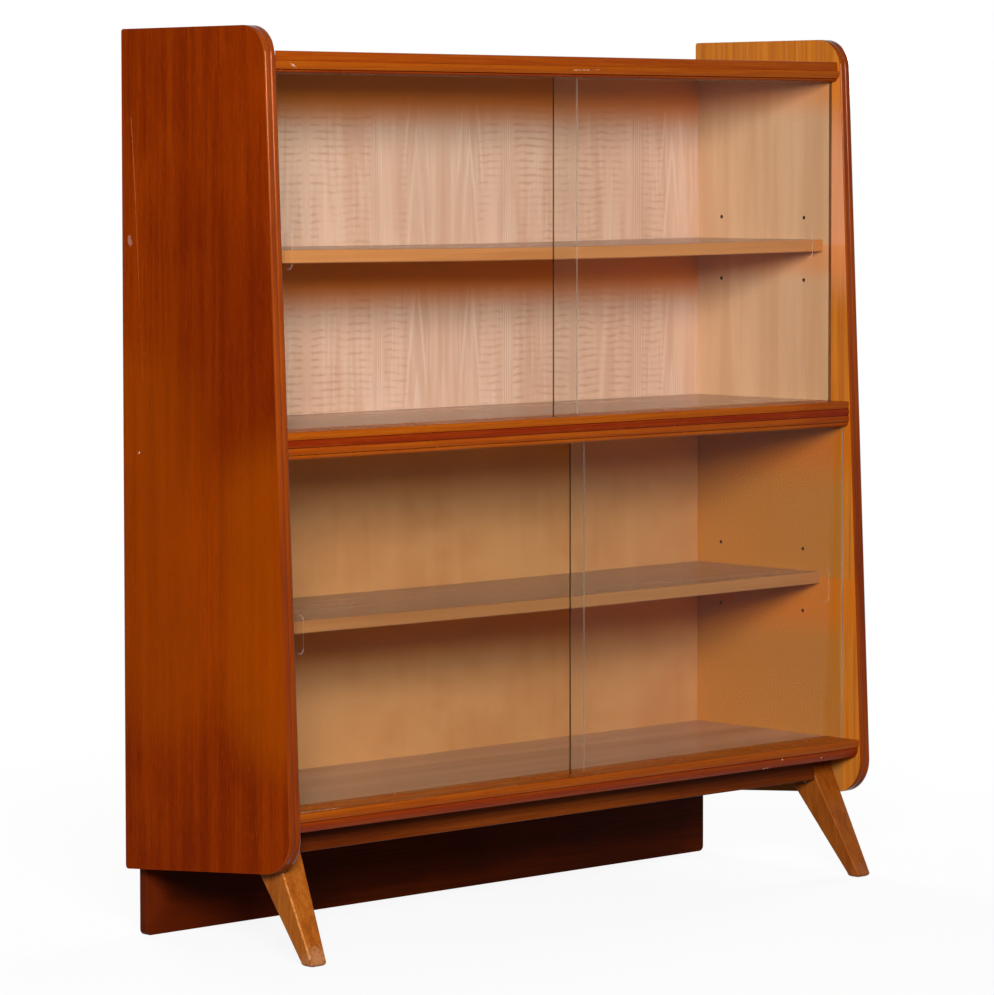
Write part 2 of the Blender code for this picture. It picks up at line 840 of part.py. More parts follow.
def leg_ring(level, inset):
    """Rounded rectangle of a leg's section, drawn in by the foot's rounding."""
    front, size, thickness = leg_section(level)
    low_x = inset
    high_x = thickness - inset
    near = front - inset
    far = front - size + inset
    radius = LEG_EDGE_RADIUS
    quarter = math.pi / 2.0
    ring = []
    for turn, x_value, depth, x_way, depth_way in (
        (0, high_x, near, -1, -1),
        (1, low_x, near, 1, -1),
        (2, low_x, far, 1, 1),
        (3, high_x, far, -1, 1),
    ):
        centre = (x_value + x_way * radius, depth + depth_way * radius)
        ring.extend(arc_points(centre, radius, turn * quarter, (turn + 1) * quarter, LEG_EDGE_STEPS))
    return ring


def leg_mesh(sign):
    """Leg lofted from its worn foot to its top; local X runs inwards from the side."""
    levels = []
    for share in LEG_FOOT_SHARES:
        levels.append((share * LEG_FOOT_ROUND, LEG_FOOT_ROUND * (1.0 - math.sqrt(1.0 - (1.0 - share) ** 2))))
    levels.append((LEG_FOOT_ROUND, 0.0))
    levels.append((LEG_TOP_Z, 0.0))
    builder = bmesh.new()
    rings = []
    for level, inset in levels:
        section = leg_ring(level, inset)
        rings.append([builder.verts.new((-sign * across, -depth, level)) for across, depth in section])
    builder.faces.new(rings[0])
    builder.faces.new(rings[-1])
    count = len(rings[0])
    for lower, upper in zip(rings, rings[1:]):
        for index in range(count):
            after = (index + 1) % count
            builder.faces.new((lower[index], lower[after], upper[after], upper[index]))
    mesh = finish_mesh("leg", builder)
    smooth_round_faces(mesh)
    return mesh


def leg_screw_place(share):
    """Height, depth and leg thickness at one of the leg's screws."""
    level = LEG_TOP_Z * share
    front, size, thickness = leg_section(level)
    return level, front - size / 2.0, thickness


def leg_screw_matrix(sign, share):
    level, depth, thickness = leg_screw_place(share)
    inner = INNER_X - GAP - thickness + LEG_SCREW_SINK
    turn = Matrix.Rotation(-sign * math.pi / 2.0, 4, "Y")
    return Matrix.Translation((sign * inner, -depth, level)) @ turn


def leg_screw_shape(name, share, swell, overrun):
    thickness = leg_screw_place(share)[2]
    length = thickness - LEG_SCREW_SINK + LEG_SCREW_BITE
    profile = screw_profile(
        LEG_SCREW_SHANK_RADIUS,
        LEG_SCREW_HEAD_RADIUS,
        LEG_SCREW_HEAD_HEIGHT,
        length,
        swell,
        overrun,
    )
    return turned_mesh(name, profile, DOWEL_SEGMENTS)


def leg_screw_bore_mesh(share):
    return leg_screw_shape("leg_screw_bore", share, GAP, OVERRUN)


def build_legs(root):
    leg_look = leg_material()
    screw_look = steel_material("leg_screw_steel")
    for side, sign in (("left", -1), ("right", 1)):
        place = (sign * (INNER_X - GAP), 0.0, 0.0)
        leg = add_object("leg_" + side, leg_mesh(sign), place, root, leg_look)
        shapes = []
        for number, share in enumerate(LEG_SCREW_SHARES):
            matrix = leg_screw_matrix(sign, share)
            shapes.append((leg_screw_bore_mesh(share), matrix))
            screw = add_object(
                "leg_screw_" + side + "_" + str(number + 1),
                leg_screw_shape("leg_screw", share, 0.0, 0.0),
                matrix.to_translation(),
                root,
                screw_look,
            )
            screw.rotation_euler = (0.0, -sign * math.pi / 2.0, 0.0)
        cut(leg, (joined_cutter("cutter_leg_bores_" + side, shapes, root),))


# Apron and plinth
def apron_dowel_depth():
    return APRON_FRONT - APRON_THICKNESS / 2


def plinth_dowel_depth():
    return PLINTH_REAR + PLINTH_THICKNESS / 2


def rail_dowel_places(depth, joint_z):
    """Centres of the upright dowels across one joint under the carcass."""
    level = joint_z + RAIL_DOWEL_BITE - DOWEL_LENGTH / 2
    return [(share * INNER_X, -depth, level) for share in RAIL_DOWEL_SHARES]


def rail_dowel_cutter(name, depth, joint_z, root):
    half = DOWEL_LENGTH / 2 + GAP
    bore = bore_mesh("rail_bore", DOWEL_RADIUS + GAP, -half, half, DOWEL_SEGMENTS)
    shapes = [(bore, Matrix.Translation(place)) for place in rail_dowel_places(depth, joint_z)]
    return joined_cutter("cutter_rail_dowels_" + name, shapes, root)


def add_rail_dowels(name, depth, joint_z, root):
    dowel = eased_rod_mesh("rail_dowel", DOWEL_RADIUS, DOWEL_LENGTH, DOWEL_EDGE_EASE, DOWEL_SEGMENTS)
    look = dowel_material()
    for number, place in enumerate(rail_dowel_places(depth, joint_z)):
        add_object("dowel_" + name + "_" + str(number + 1), dowel, place, root, look)


def build_apron(root, dowel_cutter):
    top = BOTTOM_UNDERSIDE - GAP
    low_half = INNER_X - GAP - leg_section(APRON_BOTTOM_Z)[2] - GAP
    top_half = INNER_X - GAP - leg_section(top)[2] - GAP
    outline = (
        (-low_half, APRON_BOTTOM_Z),
        (low_half, APRON_BOTTOM_Z),
        (top_half, top),
        (-top_half, top),
    )
    mesh = prism_mesh("front_apron", outline, 1, -APRON_FRONT, APRON_THICKNESS - APRON_FRONT)
    apron = add_object("front_apron", mesh, (0.0, 0.0, 0.0), root, apron_material())
    cut(apron, (dowel_cutter,))
    add_rail_dowels("apron", apron_dowel_depth(), BOTTOM_UNDERSIDE, root)


def build_plinth(root, dowel_cutter):
    """Rear board that stands on the floor and carries the carcass behind."""
    half = INNER_X - GAP
    radius = PLINTH_CORNER_RADIUS
    quarter = math.pi / 2.0
    top = BOTTOM_BOARD_UNDERSIDE - GAP
    left = arc_points((radius - half, radius), radius, 2 * quarter, 3 * quarter, PLINTH_CORNER_STEPS)
    right = arc_points((half - radius, radius), radius, 3 * quarter, 4 * quarter, PLINTH_CORNER_STEPS)
    outline = left + right + [(half, top), (-half, top)]
    front = PLINTH_REAR + PLINTH_THICKNESS
    mesh = prism_mesh("rear_plinth", outline, 1, -front, -PLINTH_REAR)
    smooth_round_faces(mesh)
    plinth = add_object("rear_plinth", mesh, (0.0, 0.0, 0.0), root, plinth_material())
    cut(plinth, (dowel_cutter,))
    add_rail_dowels("plinth", plinth_dowel_depth(), BOTTOM_BOARD_UNDERSIDE, root)


# Glass doors
def pull_outline(centre_x, centre_z):
    """Upright finger pull with half-round ends, in (X, Z)."""
    radius = PULL_WIDTH / 2
    straight = PULL_HEIGHT / 2 - radius
    upper = arc_points((centre_x, centre_z + straight), radius, 0.0, math.pi, PULL_ARC_STEPS)
    lower = arc_points((centre_x, centre_z - straight), radius, math.pi, 2.0 * math.pi, PULL_ARC_STEPS)
    return upper + lower


def pane_plans():
    """Each pair: name, front face depth, lap and meeting line, top, foot and pull."""
    return (
        (
            "upper",
            UPPER_GLASS_FRONT,
            (UPPER_GLASS_OVERLAP, UPPER_MEETING_X),
            TOP_UNDERSIDE + GLASS_LAP_ABOVE,
            MIDDLE_Z - TRACK_DEPTH + GAP,
            (UPPER_PULL_INSET, UPPER_PULL_Z),
        ),
        (
            "lower",
            LOWER_GLASS_FRONT,
            (LOWER_GLASS_OVERLAP, LOWER_MEETING_X),
            MIDDLE_UNDERSIDE + GLASS_LAP_ABOVE,
            BOTTOM_Z - TRACK_DEPTH + GAP,
            (LOWER_PULL_INSET, LOWER_PULL_Z),
        ),
    )


def build_pane(name, sign, glass_front, reach, head, foot, pull, root, look):
    """One sliding pane; its parent empty lies on the line that it slides along.

    The pane runs from its own side wall to reach past the middle of the carcass.
    """
    pull_inset, pull_z = pull
    width = INNER_X - GLASS_SIDE_CLEARANCE + reach
    middle = sign * (INNER_X - GLASS_SIDE_CLEARANCE - width / 2)
    slide = add_empty("slide_" + name, (middle, -glass_front, foot), root)
    half = width / 2
    points = ((-half, 0.0), (half, 0.0), (half, GLASS_THICKNESS), (-half, GLASS_THICKNESS))
    mesh = prism_mesh("glass_" + name, points, 2, 0.0, head - foot)
    pane = add_object("glass_" + name, mesh, (0.0, 0.0, 0.0), slide, look)
    bevel = pane.modifiers.new("ground_edges", "BEVEL")
    bevel.width = GLASS_EDGE_EASE
    bevel.segments = 1
    outline = pull_outline(sign * (half - pull_inset), pull_z - foot)
    cutter_mesh = prism_mesh("cutter_pull_" + name, outline, 1, -OVERRUN, PULL_DEPTH)
    cut(pane, (add_object("cutter_pull_" + name, cutter_mesh, (0.0, 0.0, 0.0), slide),))


def build_glass(root):
    look = glass_material()
    for name, front, (overlap, meeting), head, foot, pull in pane_plans():
        reach = overlap / 2 - meeting
        build_pane(name + "_right", 1, front, reach, head, foot, pull, root, look)
        reach = overlap / 2 + meeting
        build_pane(name + "_left", -1, front - TRACK_PITCH, reach, head, foot, pull, root, look)


def main():
    clear_scene()
    root = add_empty("bookcase", (0.0, BACK_Y, 0.0))
    plinth_cutter = rail_dowel_cutter("plinth", plinth_dowel_depth(), BOTTOM_BOARD_UNDERSIDE, root)
    apron_cutter = rail_dowel_cutter("apron", apron_dowel_depth(), BOTTOM_UNDERSIDE, root)
    build_sides(root)
    screw_cutters = build_boards(root, plinth_cutter)
    build_back(root, screw_cutters)
    build_mouldings(root, apron_cutter)
    build_shelves(root)
    build_legs(root)
    build_apron(root, apron_cutter)
    build_plinth(root, plinth_cutter)
    build_glass(root)


main()
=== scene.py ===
"""Looks of a free-standing bookcase with two pairs of sliding glass doors.

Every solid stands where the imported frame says.  Sizes that the frame does not
hold, such as the arc of a bead or the figure of a veneer, are fields of the
classes below.  Metres, +X to the viewer's right, +Z up, front towards -Y.
"""

import logging
import math
from dataclasses import dataclass
from dataclasses import field
from enum import Enum
from typing import Any
from typing import Iterable
from typing import Sequence

import bmesh
import bpy
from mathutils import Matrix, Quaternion
from mathutils import Vector


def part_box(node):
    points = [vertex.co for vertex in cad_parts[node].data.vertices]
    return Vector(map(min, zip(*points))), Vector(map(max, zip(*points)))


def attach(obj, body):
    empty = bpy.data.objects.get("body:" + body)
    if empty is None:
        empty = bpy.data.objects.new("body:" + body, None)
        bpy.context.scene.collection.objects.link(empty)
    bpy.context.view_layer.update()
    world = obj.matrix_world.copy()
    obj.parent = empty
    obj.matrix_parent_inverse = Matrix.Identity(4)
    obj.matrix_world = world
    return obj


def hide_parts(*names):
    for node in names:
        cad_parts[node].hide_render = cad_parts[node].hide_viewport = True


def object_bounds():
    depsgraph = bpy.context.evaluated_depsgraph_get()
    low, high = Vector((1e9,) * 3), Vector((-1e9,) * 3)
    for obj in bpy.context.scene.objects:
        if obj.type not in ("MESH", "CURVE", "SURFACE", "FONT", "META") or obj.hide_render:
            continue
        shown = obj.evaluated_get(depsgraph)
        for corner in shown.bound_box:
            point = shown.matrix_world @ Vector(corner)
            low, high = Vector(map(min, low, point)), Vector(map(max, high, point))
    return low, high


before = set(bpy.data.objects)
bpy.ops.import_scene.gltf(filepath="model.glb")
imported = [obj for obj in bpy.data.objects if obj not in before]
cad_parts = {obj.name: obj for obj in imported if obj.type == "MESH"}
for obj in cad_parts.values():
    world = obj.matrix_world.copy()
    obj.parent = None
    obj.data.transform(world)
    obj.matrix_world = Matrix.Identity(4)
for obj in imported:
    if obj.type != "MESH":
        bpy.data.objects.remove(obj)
CAD_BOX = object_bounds()
LOG = logging.getLogger("bookcase")

Point2 = tuple[float, float]
Point3 = tuple[float, float, float]
Point4 = tuple[float, float, float, float]
Tone = str  # a six-figure sRGB code
Socket = bpy.types.NodeSocket

OVERRUN = 0.004
CLEARANCE = 0.0003
QUARTER = math.pi / 2.0
ORIGIN = (0.0, 0.0, 0.0)
WHITE = "ffffff"
FACING = 0.9  # share of a normal from which a face counts as turned that way
EVEN = (0.3, 0.7)  # values between which an even noise mostly lies
SKIN = 0.002  # depth of the rear face that keeps its plain wood
REAR = CAD_BOX[1][1]
PIN_RADIUS = 0.0028
PIN_COLUMNS = (0.0547, 0.2251)  # depths of the pins from the rear
UPPER_PINS = 0.9343
LOWER_PINS = 0.4349
UPPER_GLASS = 0.2795  # depths of the front tracks from the rear
LOWER_GLASS = 0.3080


class Side(Enum):
    """The two ends of the bookcase, with the sign of their X."""

    LEFT = -1
    RIGHT = 1

    @property
    def word(self) -> str:
        """Return the side's name in lower case."""
        return self.name.lower()

    @property
    def outwards(self) -> "Turn":
        """Return the turn that lays a form towards this end."""
        return Turn.TO_THE_LEFT if self is Side.LEFT else Turn.TO_THE_RIGHT


class Grain(Enum):
    """The way in which the grain of a board runs, as a turn that lays it along Z."""

    ALONG_X = (0.0, -QUARTER, 0.0)
    ALONG_Z = ORIGIN


class Turn(Enum):
    """Turns that lay a form made along +Z the way it points in the bookcase."""

    UP = ORIGIN
    FORWARDS = (QUARTER, 0.0, 0.0)
    TO_THE_LEFT = (0.0, -QUARTER, 0.0)
    TO_THE_RIGHT = (0.0, QUARTER, 0.0)


def grey(value: float) -> Point4:
    """Return a neutral colour of one scene-linear value."""
    return value, value, value, 1.0


def linear(tone: Any) -> Any:
    """Return a tone as a scene-linear colour, or hand on what is no tone."""
    if not isinstance(tone, Tone):
        return tone
    channels = []
    for value in (byte / 255.0 for byte in bytes.fromhex(tone)):
        low = value / 12.92
        high = ((value + 0.055) / 1.055) ** 2.4
        channels.append(low if value <= 0.04045 else high)
    return channels[0], channels[1], channels[2], 1.0


@dataclass(frozen=True)
class Box:
    """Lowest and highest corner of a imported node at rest."""

    low: Vector
    high: Vector

    @classmethod
    def of(cls, node: str) -> "Box":
        """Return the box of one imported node."""
        low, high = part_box(node)
        return cls(low, high)

    @property
    def middle(self) -> Vector:
        """Return the centre of the box."""
        return (self.low + self.high) / 2.0

    def outer(self, side: Side) -> float:
        """Return the X of the face towards one end of the bookcase."""
        return self.low.x if side is Side.LEFT else self.high.x

    def inner(self, side: Side) -> float:
        """Return the X of the face away from that end."""
        return self.high.x if side is Side.LEFT else self.low.x


class NodeGraph:
    """A node tree that is wired socket by socket."""

    def __init__(self, tree: bpy.types.NodeTree) -> None:
        """Take over an empty tree."""
        self.tree = tree

    def add(self, kind: str, inputs: dict[Any, Any] | None = None,
            **settings: Any) -> bpy.types.Node:
        """Add one node.

        Args:
            kind: Blender's name of the node's type.
            inputs: Values or sockets by the name or number of the input.
            **settings: Properties of the node.

        Returns:
            The new node.
        """
        node = self.tree.nodes.new(kind)
        for key, value in settings.items():
            setattr(node, key, value)
        for key, value in (inputs or {}).items():
            self.feed(node.inputs[key], value)
        return node

    def feed(self, target: Socket, value: Any) -> None:
        """Link a socket to an input, or set the input's value."""
        if isinstance(value, bpy.types.NodeSocket):
            self.tree.links.new(value, target)
        else:
            target.default_value = value

    def math(self, operation: str, first: Any, second: Any = 0.0, clamp: bool = False) -> Socket:
        """Return the result of one number operation."""
        node = self.add("ShaderNodeMath", {0: first, 1: second}, operation=operation,
                        use_clamp=clamp)
        return node.outputs[0]

    def times(self, *factors: Any) -> Socket:
        """Return the product of two or more numbers."""
        result = factors[0]
        for factor in factors[1:]:
            result = self.math("MULTIPLY", result, factor)
        return result

    def background_rays(self) -> Socket:
        """Return one for rays of the camera, of a gloss and through glass."""
        path = self.add("ShaderNodeLightPath").outputs
        seen = self.math("ADD", path["Is Camera Ray"], path["Is Glossy Ray"])
        return self.math("ADD", seen, path["Is Transmission Ray"], clamp=True)


class ShaderGraph(NodeGraph):
    """One material's node tree."""

    def __init__(self, name: str) -> None:
        """Start an empty tree that reads Object coordinates.

        Args:
            name: Name of the new material.
        """
        self.material = bpy.data.materials.new(name)
        self.material.use_nodes = True
        super().__init__(self.material.node_tree)
        self.tree.nodes.clear()
        self.output = self.add("ShaderNodeOutputMaterial")
        self.place = self.add("ShaderNodeTexCoord").outputs["Object"]
        parts = self.add("ShaderNodeSeparateXYZ", {0: self.place})
        self.x, self.y, self.z = parts.outputs[0], parts.outputs[1], parts.outputs[2]

    def close(self, shader: bpy.types.Node) -> bpy.types.Material:
        """End the tree with a shader and return the finished material."""
        self.feed(self.output.inputs["Surface"], shader.outputs[0])
        return self.material

    def vector(self, operation: str, first: Any, second: Any) -> bpy.types.Node:
        """Return the node of one vector operation."""
        return self.add("ShaderNodeVectorMath", {0: first, 1: second}, operation=operation)

    def laid(self, turn: Point3, scale: Point3) -> Socket:
        """Return the Object coordinates turned and then stretched.

        Args:
            turn: Turn that lays the grain along Z.
            scale: Cycles per metre along each axis after the turn.

        Returns:
            The vector socket.
        """
        turned = self.add("ShaderNodeMapping", {"Vector": self.place, "Rotation": turn})
        return self.vector("MULTIPLY", turned.outputs[0], scale).outputs[0]

    def noise(self, vector: Socket, detail: float = 3.0, rough: float = 0.5,
              warp: float = 0.0) -> Socket:
        """Return a noise value between zero and one."""
        inputs = {"Vector": vector, "Scale": 1.0, "Detail": detail, "Roughness": rough,
                  "Distortion": warp}
        return self.add("ShaderNodeTexNoise", inputs).outputs["Fac"]

    def even_noise(self, size: float, detail: float = 3.0) -> Socket:
        """Return a noise that is as wide as it is long, one patch per size."""
        return self.noise(self.laid(ORIGIN, (1.0 / size, 1.0 / size, 1.0 / size)), detail, 0.6)

    def span(self, value: Any, low: float, high: float, start: float = 0.0,
             end: float = 1.0) -> Socket:
        """Return a value eased from one range into another, held at its ends."""
        inputs = {"Value": value, "From Min": low, "From Max": high, "To Min": start, "To Max": end}
        node = self.add("ShaderNodeMapRange", inputs, interpolation_type="SMOOTHSTEP")
        return node.outputs["Result"]

    def window(self, value: Socket, low: float, high: float, soft: float) -> Socket:
        """Return one between two limits and zero beyond their soft borders."""
        rise = self.span(value, low - soft, low)
        fall = self.span(value, high, high + soft, 1.0, 0.0)
        return self.times(rise, fall)

    def blend(self, share: Any, first: Any, second: Any) -> Socket:
        """Return two colours mixed by a share."""
        node = self.add("ShaderNodeMix", {0: share, 6: linear(first), 7: linear(second)},
                        data_type="RGBA")
        return node.outputs[2]

    def eased_blend(self, value: Any, limits: Sequence[float], first: Any, second: Any) -> Socket:
        """Return two colours mixed by a value eased between its limits."""
        return self.blend(self.span(value, *limits), first, second)

    def eased_share(self, value: Any, limits: Sequence[float], most: Any) -> Socket:
        """Return a value eased between its limits, times the most that it may reach."""
        return self.times(self.span(value, *limits), most)

    def bump(self, height: Socket, depth: float) -> Socket:
        """Return the shading normal of a height between zero and one times a depth."""
        return self.add("ShaderNodeBump", {"Height": height, "Distance": depth}).outputs["Normal"]

    def near_line(self, start: Point3, end: Point3) -> Socket:
        """Return the distance from the shaded point to a straight stretch.

        Args:
            start: One end of the stretch.
            end: The other end.

        Returns:
            The distance socket, in metres.
        """
        way = Vector(end) - Vector(start)
        offset = self.vector("SUBTRACT", self.place, start).outputs[0]
        along = self.vector("DOT_PRODUCT", offset, tuple(way)).outputs["Value"]
        share = self.math("DIVIDE", along, max(way.length_squared, 1e-12), clamp=True)
        foot = self.add("ShaderNodeVectorMath", {0: tuple(way), "Scale": share}, operation="SCALE")
        gap = self.vector("SUBTRACT", offset, foot.outputs[0]).outputs[0]
        return self.vector("LENGTH", gap, ORIGIN).outputs["Value"]


@dataclass(frozen=True)
class Mark:
    """A worn, scratched or chipped stretch of a surface, or a painted shade line or patch."""

    start: Point3
    end: Point3
    width: float
    tone: Tone
    strength: float = 1.0
    ragged: float = 0.5


@dataclass(frozen=True)
class Shade:
    """Painted shade: a darker, warmer band of wood colour under a board, where the board's shadow
    falls.
    """

    node: str
    reach: float
    tone: Tone
    share: float
    full_share: float = 0.35
    rise: float = 0.010


@dataclass(frozen=True)
class WoodFinish:
    """Grain, pores, wear, painted shade and lacquer of one kind of board."""

    name: str
    dark: Tone
    body: Tone
    light: Tone
    grain: Grain = Grain.ALONG_Z
    figure_width: float = 0.045
    figure_length: float = 0.60
    figure_share: float = 0.45
    patch_size: float = 0.28
    patch_share: float = 0.0
    line_width: float = 0.0030
    line_length: float = 0.15
    line_share: float = 0.35
    dash_width: float = 0.0016
    dash_length: float = 0.030
    dash_share: float = 0.0
    pore_width: float = 0.0007
    pore_length: float = 0.012
    pore_share: float = 0.25
    roughness: float = 0.34
    roughness_spread: float = 0.10
    specular: float = 0.22
    sheen_tone: Tone = "ffd9c0"
    bump_depth: float = 0.00005
    figure_noise: Point3 = (4.0, 0.55, 0.4)
    figure_limits: Point2 = (0.32, 0.68)
    patch_dark: Point2 = (0.52, 0.66)
    patch_light: Point2 = (0.48, 0.34)
    line_noise: Point3 = (3.0, 0.6, 0.2)
    line_limits: Point2 = (0.42, 0.62)
    dash_pale: Point2 = (0.60, 0.72)
    dash_deep: Point2 = (0.40, 0.28)
    pore_limits: Point2 = (0.60, 0.70)
    haze_size: float = 0.11
    grain_size: Point2 = (0.0025, 0.09)
    mark_grit: float = 0.004
    mark_wander: float = 4.0
    mark_core: float = 0.35
    marks: tuple[Mark, ...] = ()
    # painted shade: darker bands under the boards where their shadows fall
    shaded: tuple[Shade, ...] = ()

    def along_grain(self, graph: ShaderGraph, size: Point2, *noise: float) -> Socket:
        """Return a noise that is as wide and as long along the grain as its size.

        Args:
            graph: Tree that the noise is added to.
            size: Width and length of one patch.
            *noise: Detail, roughness and distortion.

        Returns:
            The noise socket.
        """
        width, length = size
        place = graph.laid(self.grain.value, (1.0 / width, 1.0 / width, 1.0 / length))
        return graph.noise(place, *noise)

    def tones(self, graph: ShaderGraph) -> Socket:
        """Return the broad figure between the dark and the light tone."""
        size = (self.figure_width, self.figure_length)
        broad = self.along_grain(graph, size, *self.figure_noise)
        tone = graph.eased_blend(broad, self.figure_limits, self.dark, self.light)
        tone = graph.blend(1.0 - self.figure_share, tone, self.body)
        if self.patch_share > 0.0:
            patch = graph.even_noise(self.patch_size, 2.0)
            darker = graph.eased_share(patch, self.patch_dark, self.patch_share)
            lighter = graph.eased_share(patch, self.patch_light, self.patch_share)
            tone = graph.blend(darker, tone, self.dark)
            tone = graph.blend(lighter, tone, self.light)
        return tone

    def colour(self, graph: ShaderGraph) -> Socket:
        """Return the colour of the figure with its fine lines and short dashes."""
        tone = self.tones(graph)
        size = (self.line_width, self.line_length)
        fine = self.along_grain(graph, size, *self.line_noise)
        share = graph.eased_share(fine, self.line_limits, self.line_share)
        tone = graph.blend(share, tone, self.dark)
        if self.dash_share > 0.0:
            size = (self.dash_width, self.dash_length)
            dashes = self.along_grain(graph, size, 1.0, 0.5)
            pale = graph.eased_share(dashes, self.dash_pale, self.dash_share)
            deep = graph.eased_share(dashes, self.dash_deep, self.dash_share)
            tone = graph.blend(pale, tone, self.light)
            tone = graph.blend(deep, tone, self.dark)
        return tone

    def pores(self, graph: ShaderGraph) -> Socket:
        """Return where short open pores lie, from zero to one."""
        dashes = self.along_grain(graph, (self.pore_width, self.pore_length), 2.0)
        return graph.span(dashes, *self.pore_limits)

    def painted_shade_bands(self, graph: ShaderGraph, colour: Socket) -> Socket:
        """Return the colour with the painted shade bands under the boards."""
        for band in self.shaded:
            level = Box.of(band.node).low.z
            full = level - band.reach * band.full_share
            rise = graph.span(graph.z, level - band.reach, full, 0.0, band.share)
            cover = graph.times(rise, graph.math("LESS_THAN", graph.z, level + band.rise))
            cover = graph.times(cover, graph.math("LESS_THAN", graph.y, REAR - SKIN))
            colour = graph.blend(cover, colour, band.tone)
        return colour

    def worn(self, graph: ShaderGraph, colour: Socket) -> Socket:
        """Return the colour with every mark laid over it, wear and painted shade alike."""
        if not self.marks:
            return colour
        breakup = graph.math("SUBTRACT", graph.even_noise(self.mark_grit), 0.5)
        for mark in self.marks:
            distance = graph.near_line(mark.start, mark.end)
            wobble = graph.times(breakup, mark.width * mark.ragged * self.mark_wander)
            reach = graph.math("ADD", distance, wobble)
            cover = graph.span(reach, mark.width * self.mark_core, mark.width, mark.strength, 0.0)
            colour = graph.blend(cover, colour, mark.tone)
        return colour

    def build(self) -> bpy.types.Material:
        """Return the finished material."""
        graph = ShaderGraph(self.name)
        pores = self.pores(graph)
        colour = self.colour(graph)
        colour = graph.blend(graph.times(pores, self.pore_share), colour, self.dark)
        colour = self.worn(graph, self.painted_shade_bands(graph, colour))
        haze = graph.even_noise(self.haze_size, 4.0)
        low = self.roughness - self.roughness_spread / 2.0
        rough = graph.span(haze, *EVEN, low, low + self.roughness_spread)
        grain = self.along_grain(graph, self.grain_size, 2.0)
        shader = graph.add("ShaderNodeBsdfPrincipled", {
            "Base Color": colour,
            "Roughness": rough,
            "Specular IOR Level": self.specular,
            "Specular Tint": linear(self.sheen_tone),
            "Normal": graph.bump(graph.math("SUBTRACT", grain, pores), self.bump_depth),
        })
        return graph.close(shader)


@dataclass(frozen=True)
class Layer:
    """One noise of a veneer's figure and the values that it is eased between."""

    width: float
    length: float
    detail: float = 2.0
    rough: float = 0.5
    warp: float = 0.0
    low: float = 0.3
    high: float = 0.7
    start: float = 0.0
    end: float = 1.0

    def eased(self, graph: ShaderGraph, noise: Socket) -> Socket:
        """Return the layer's noise eased from its limits to its start and end."""
        return graph.span(noise, self.low, self.high, self.start, self.end)


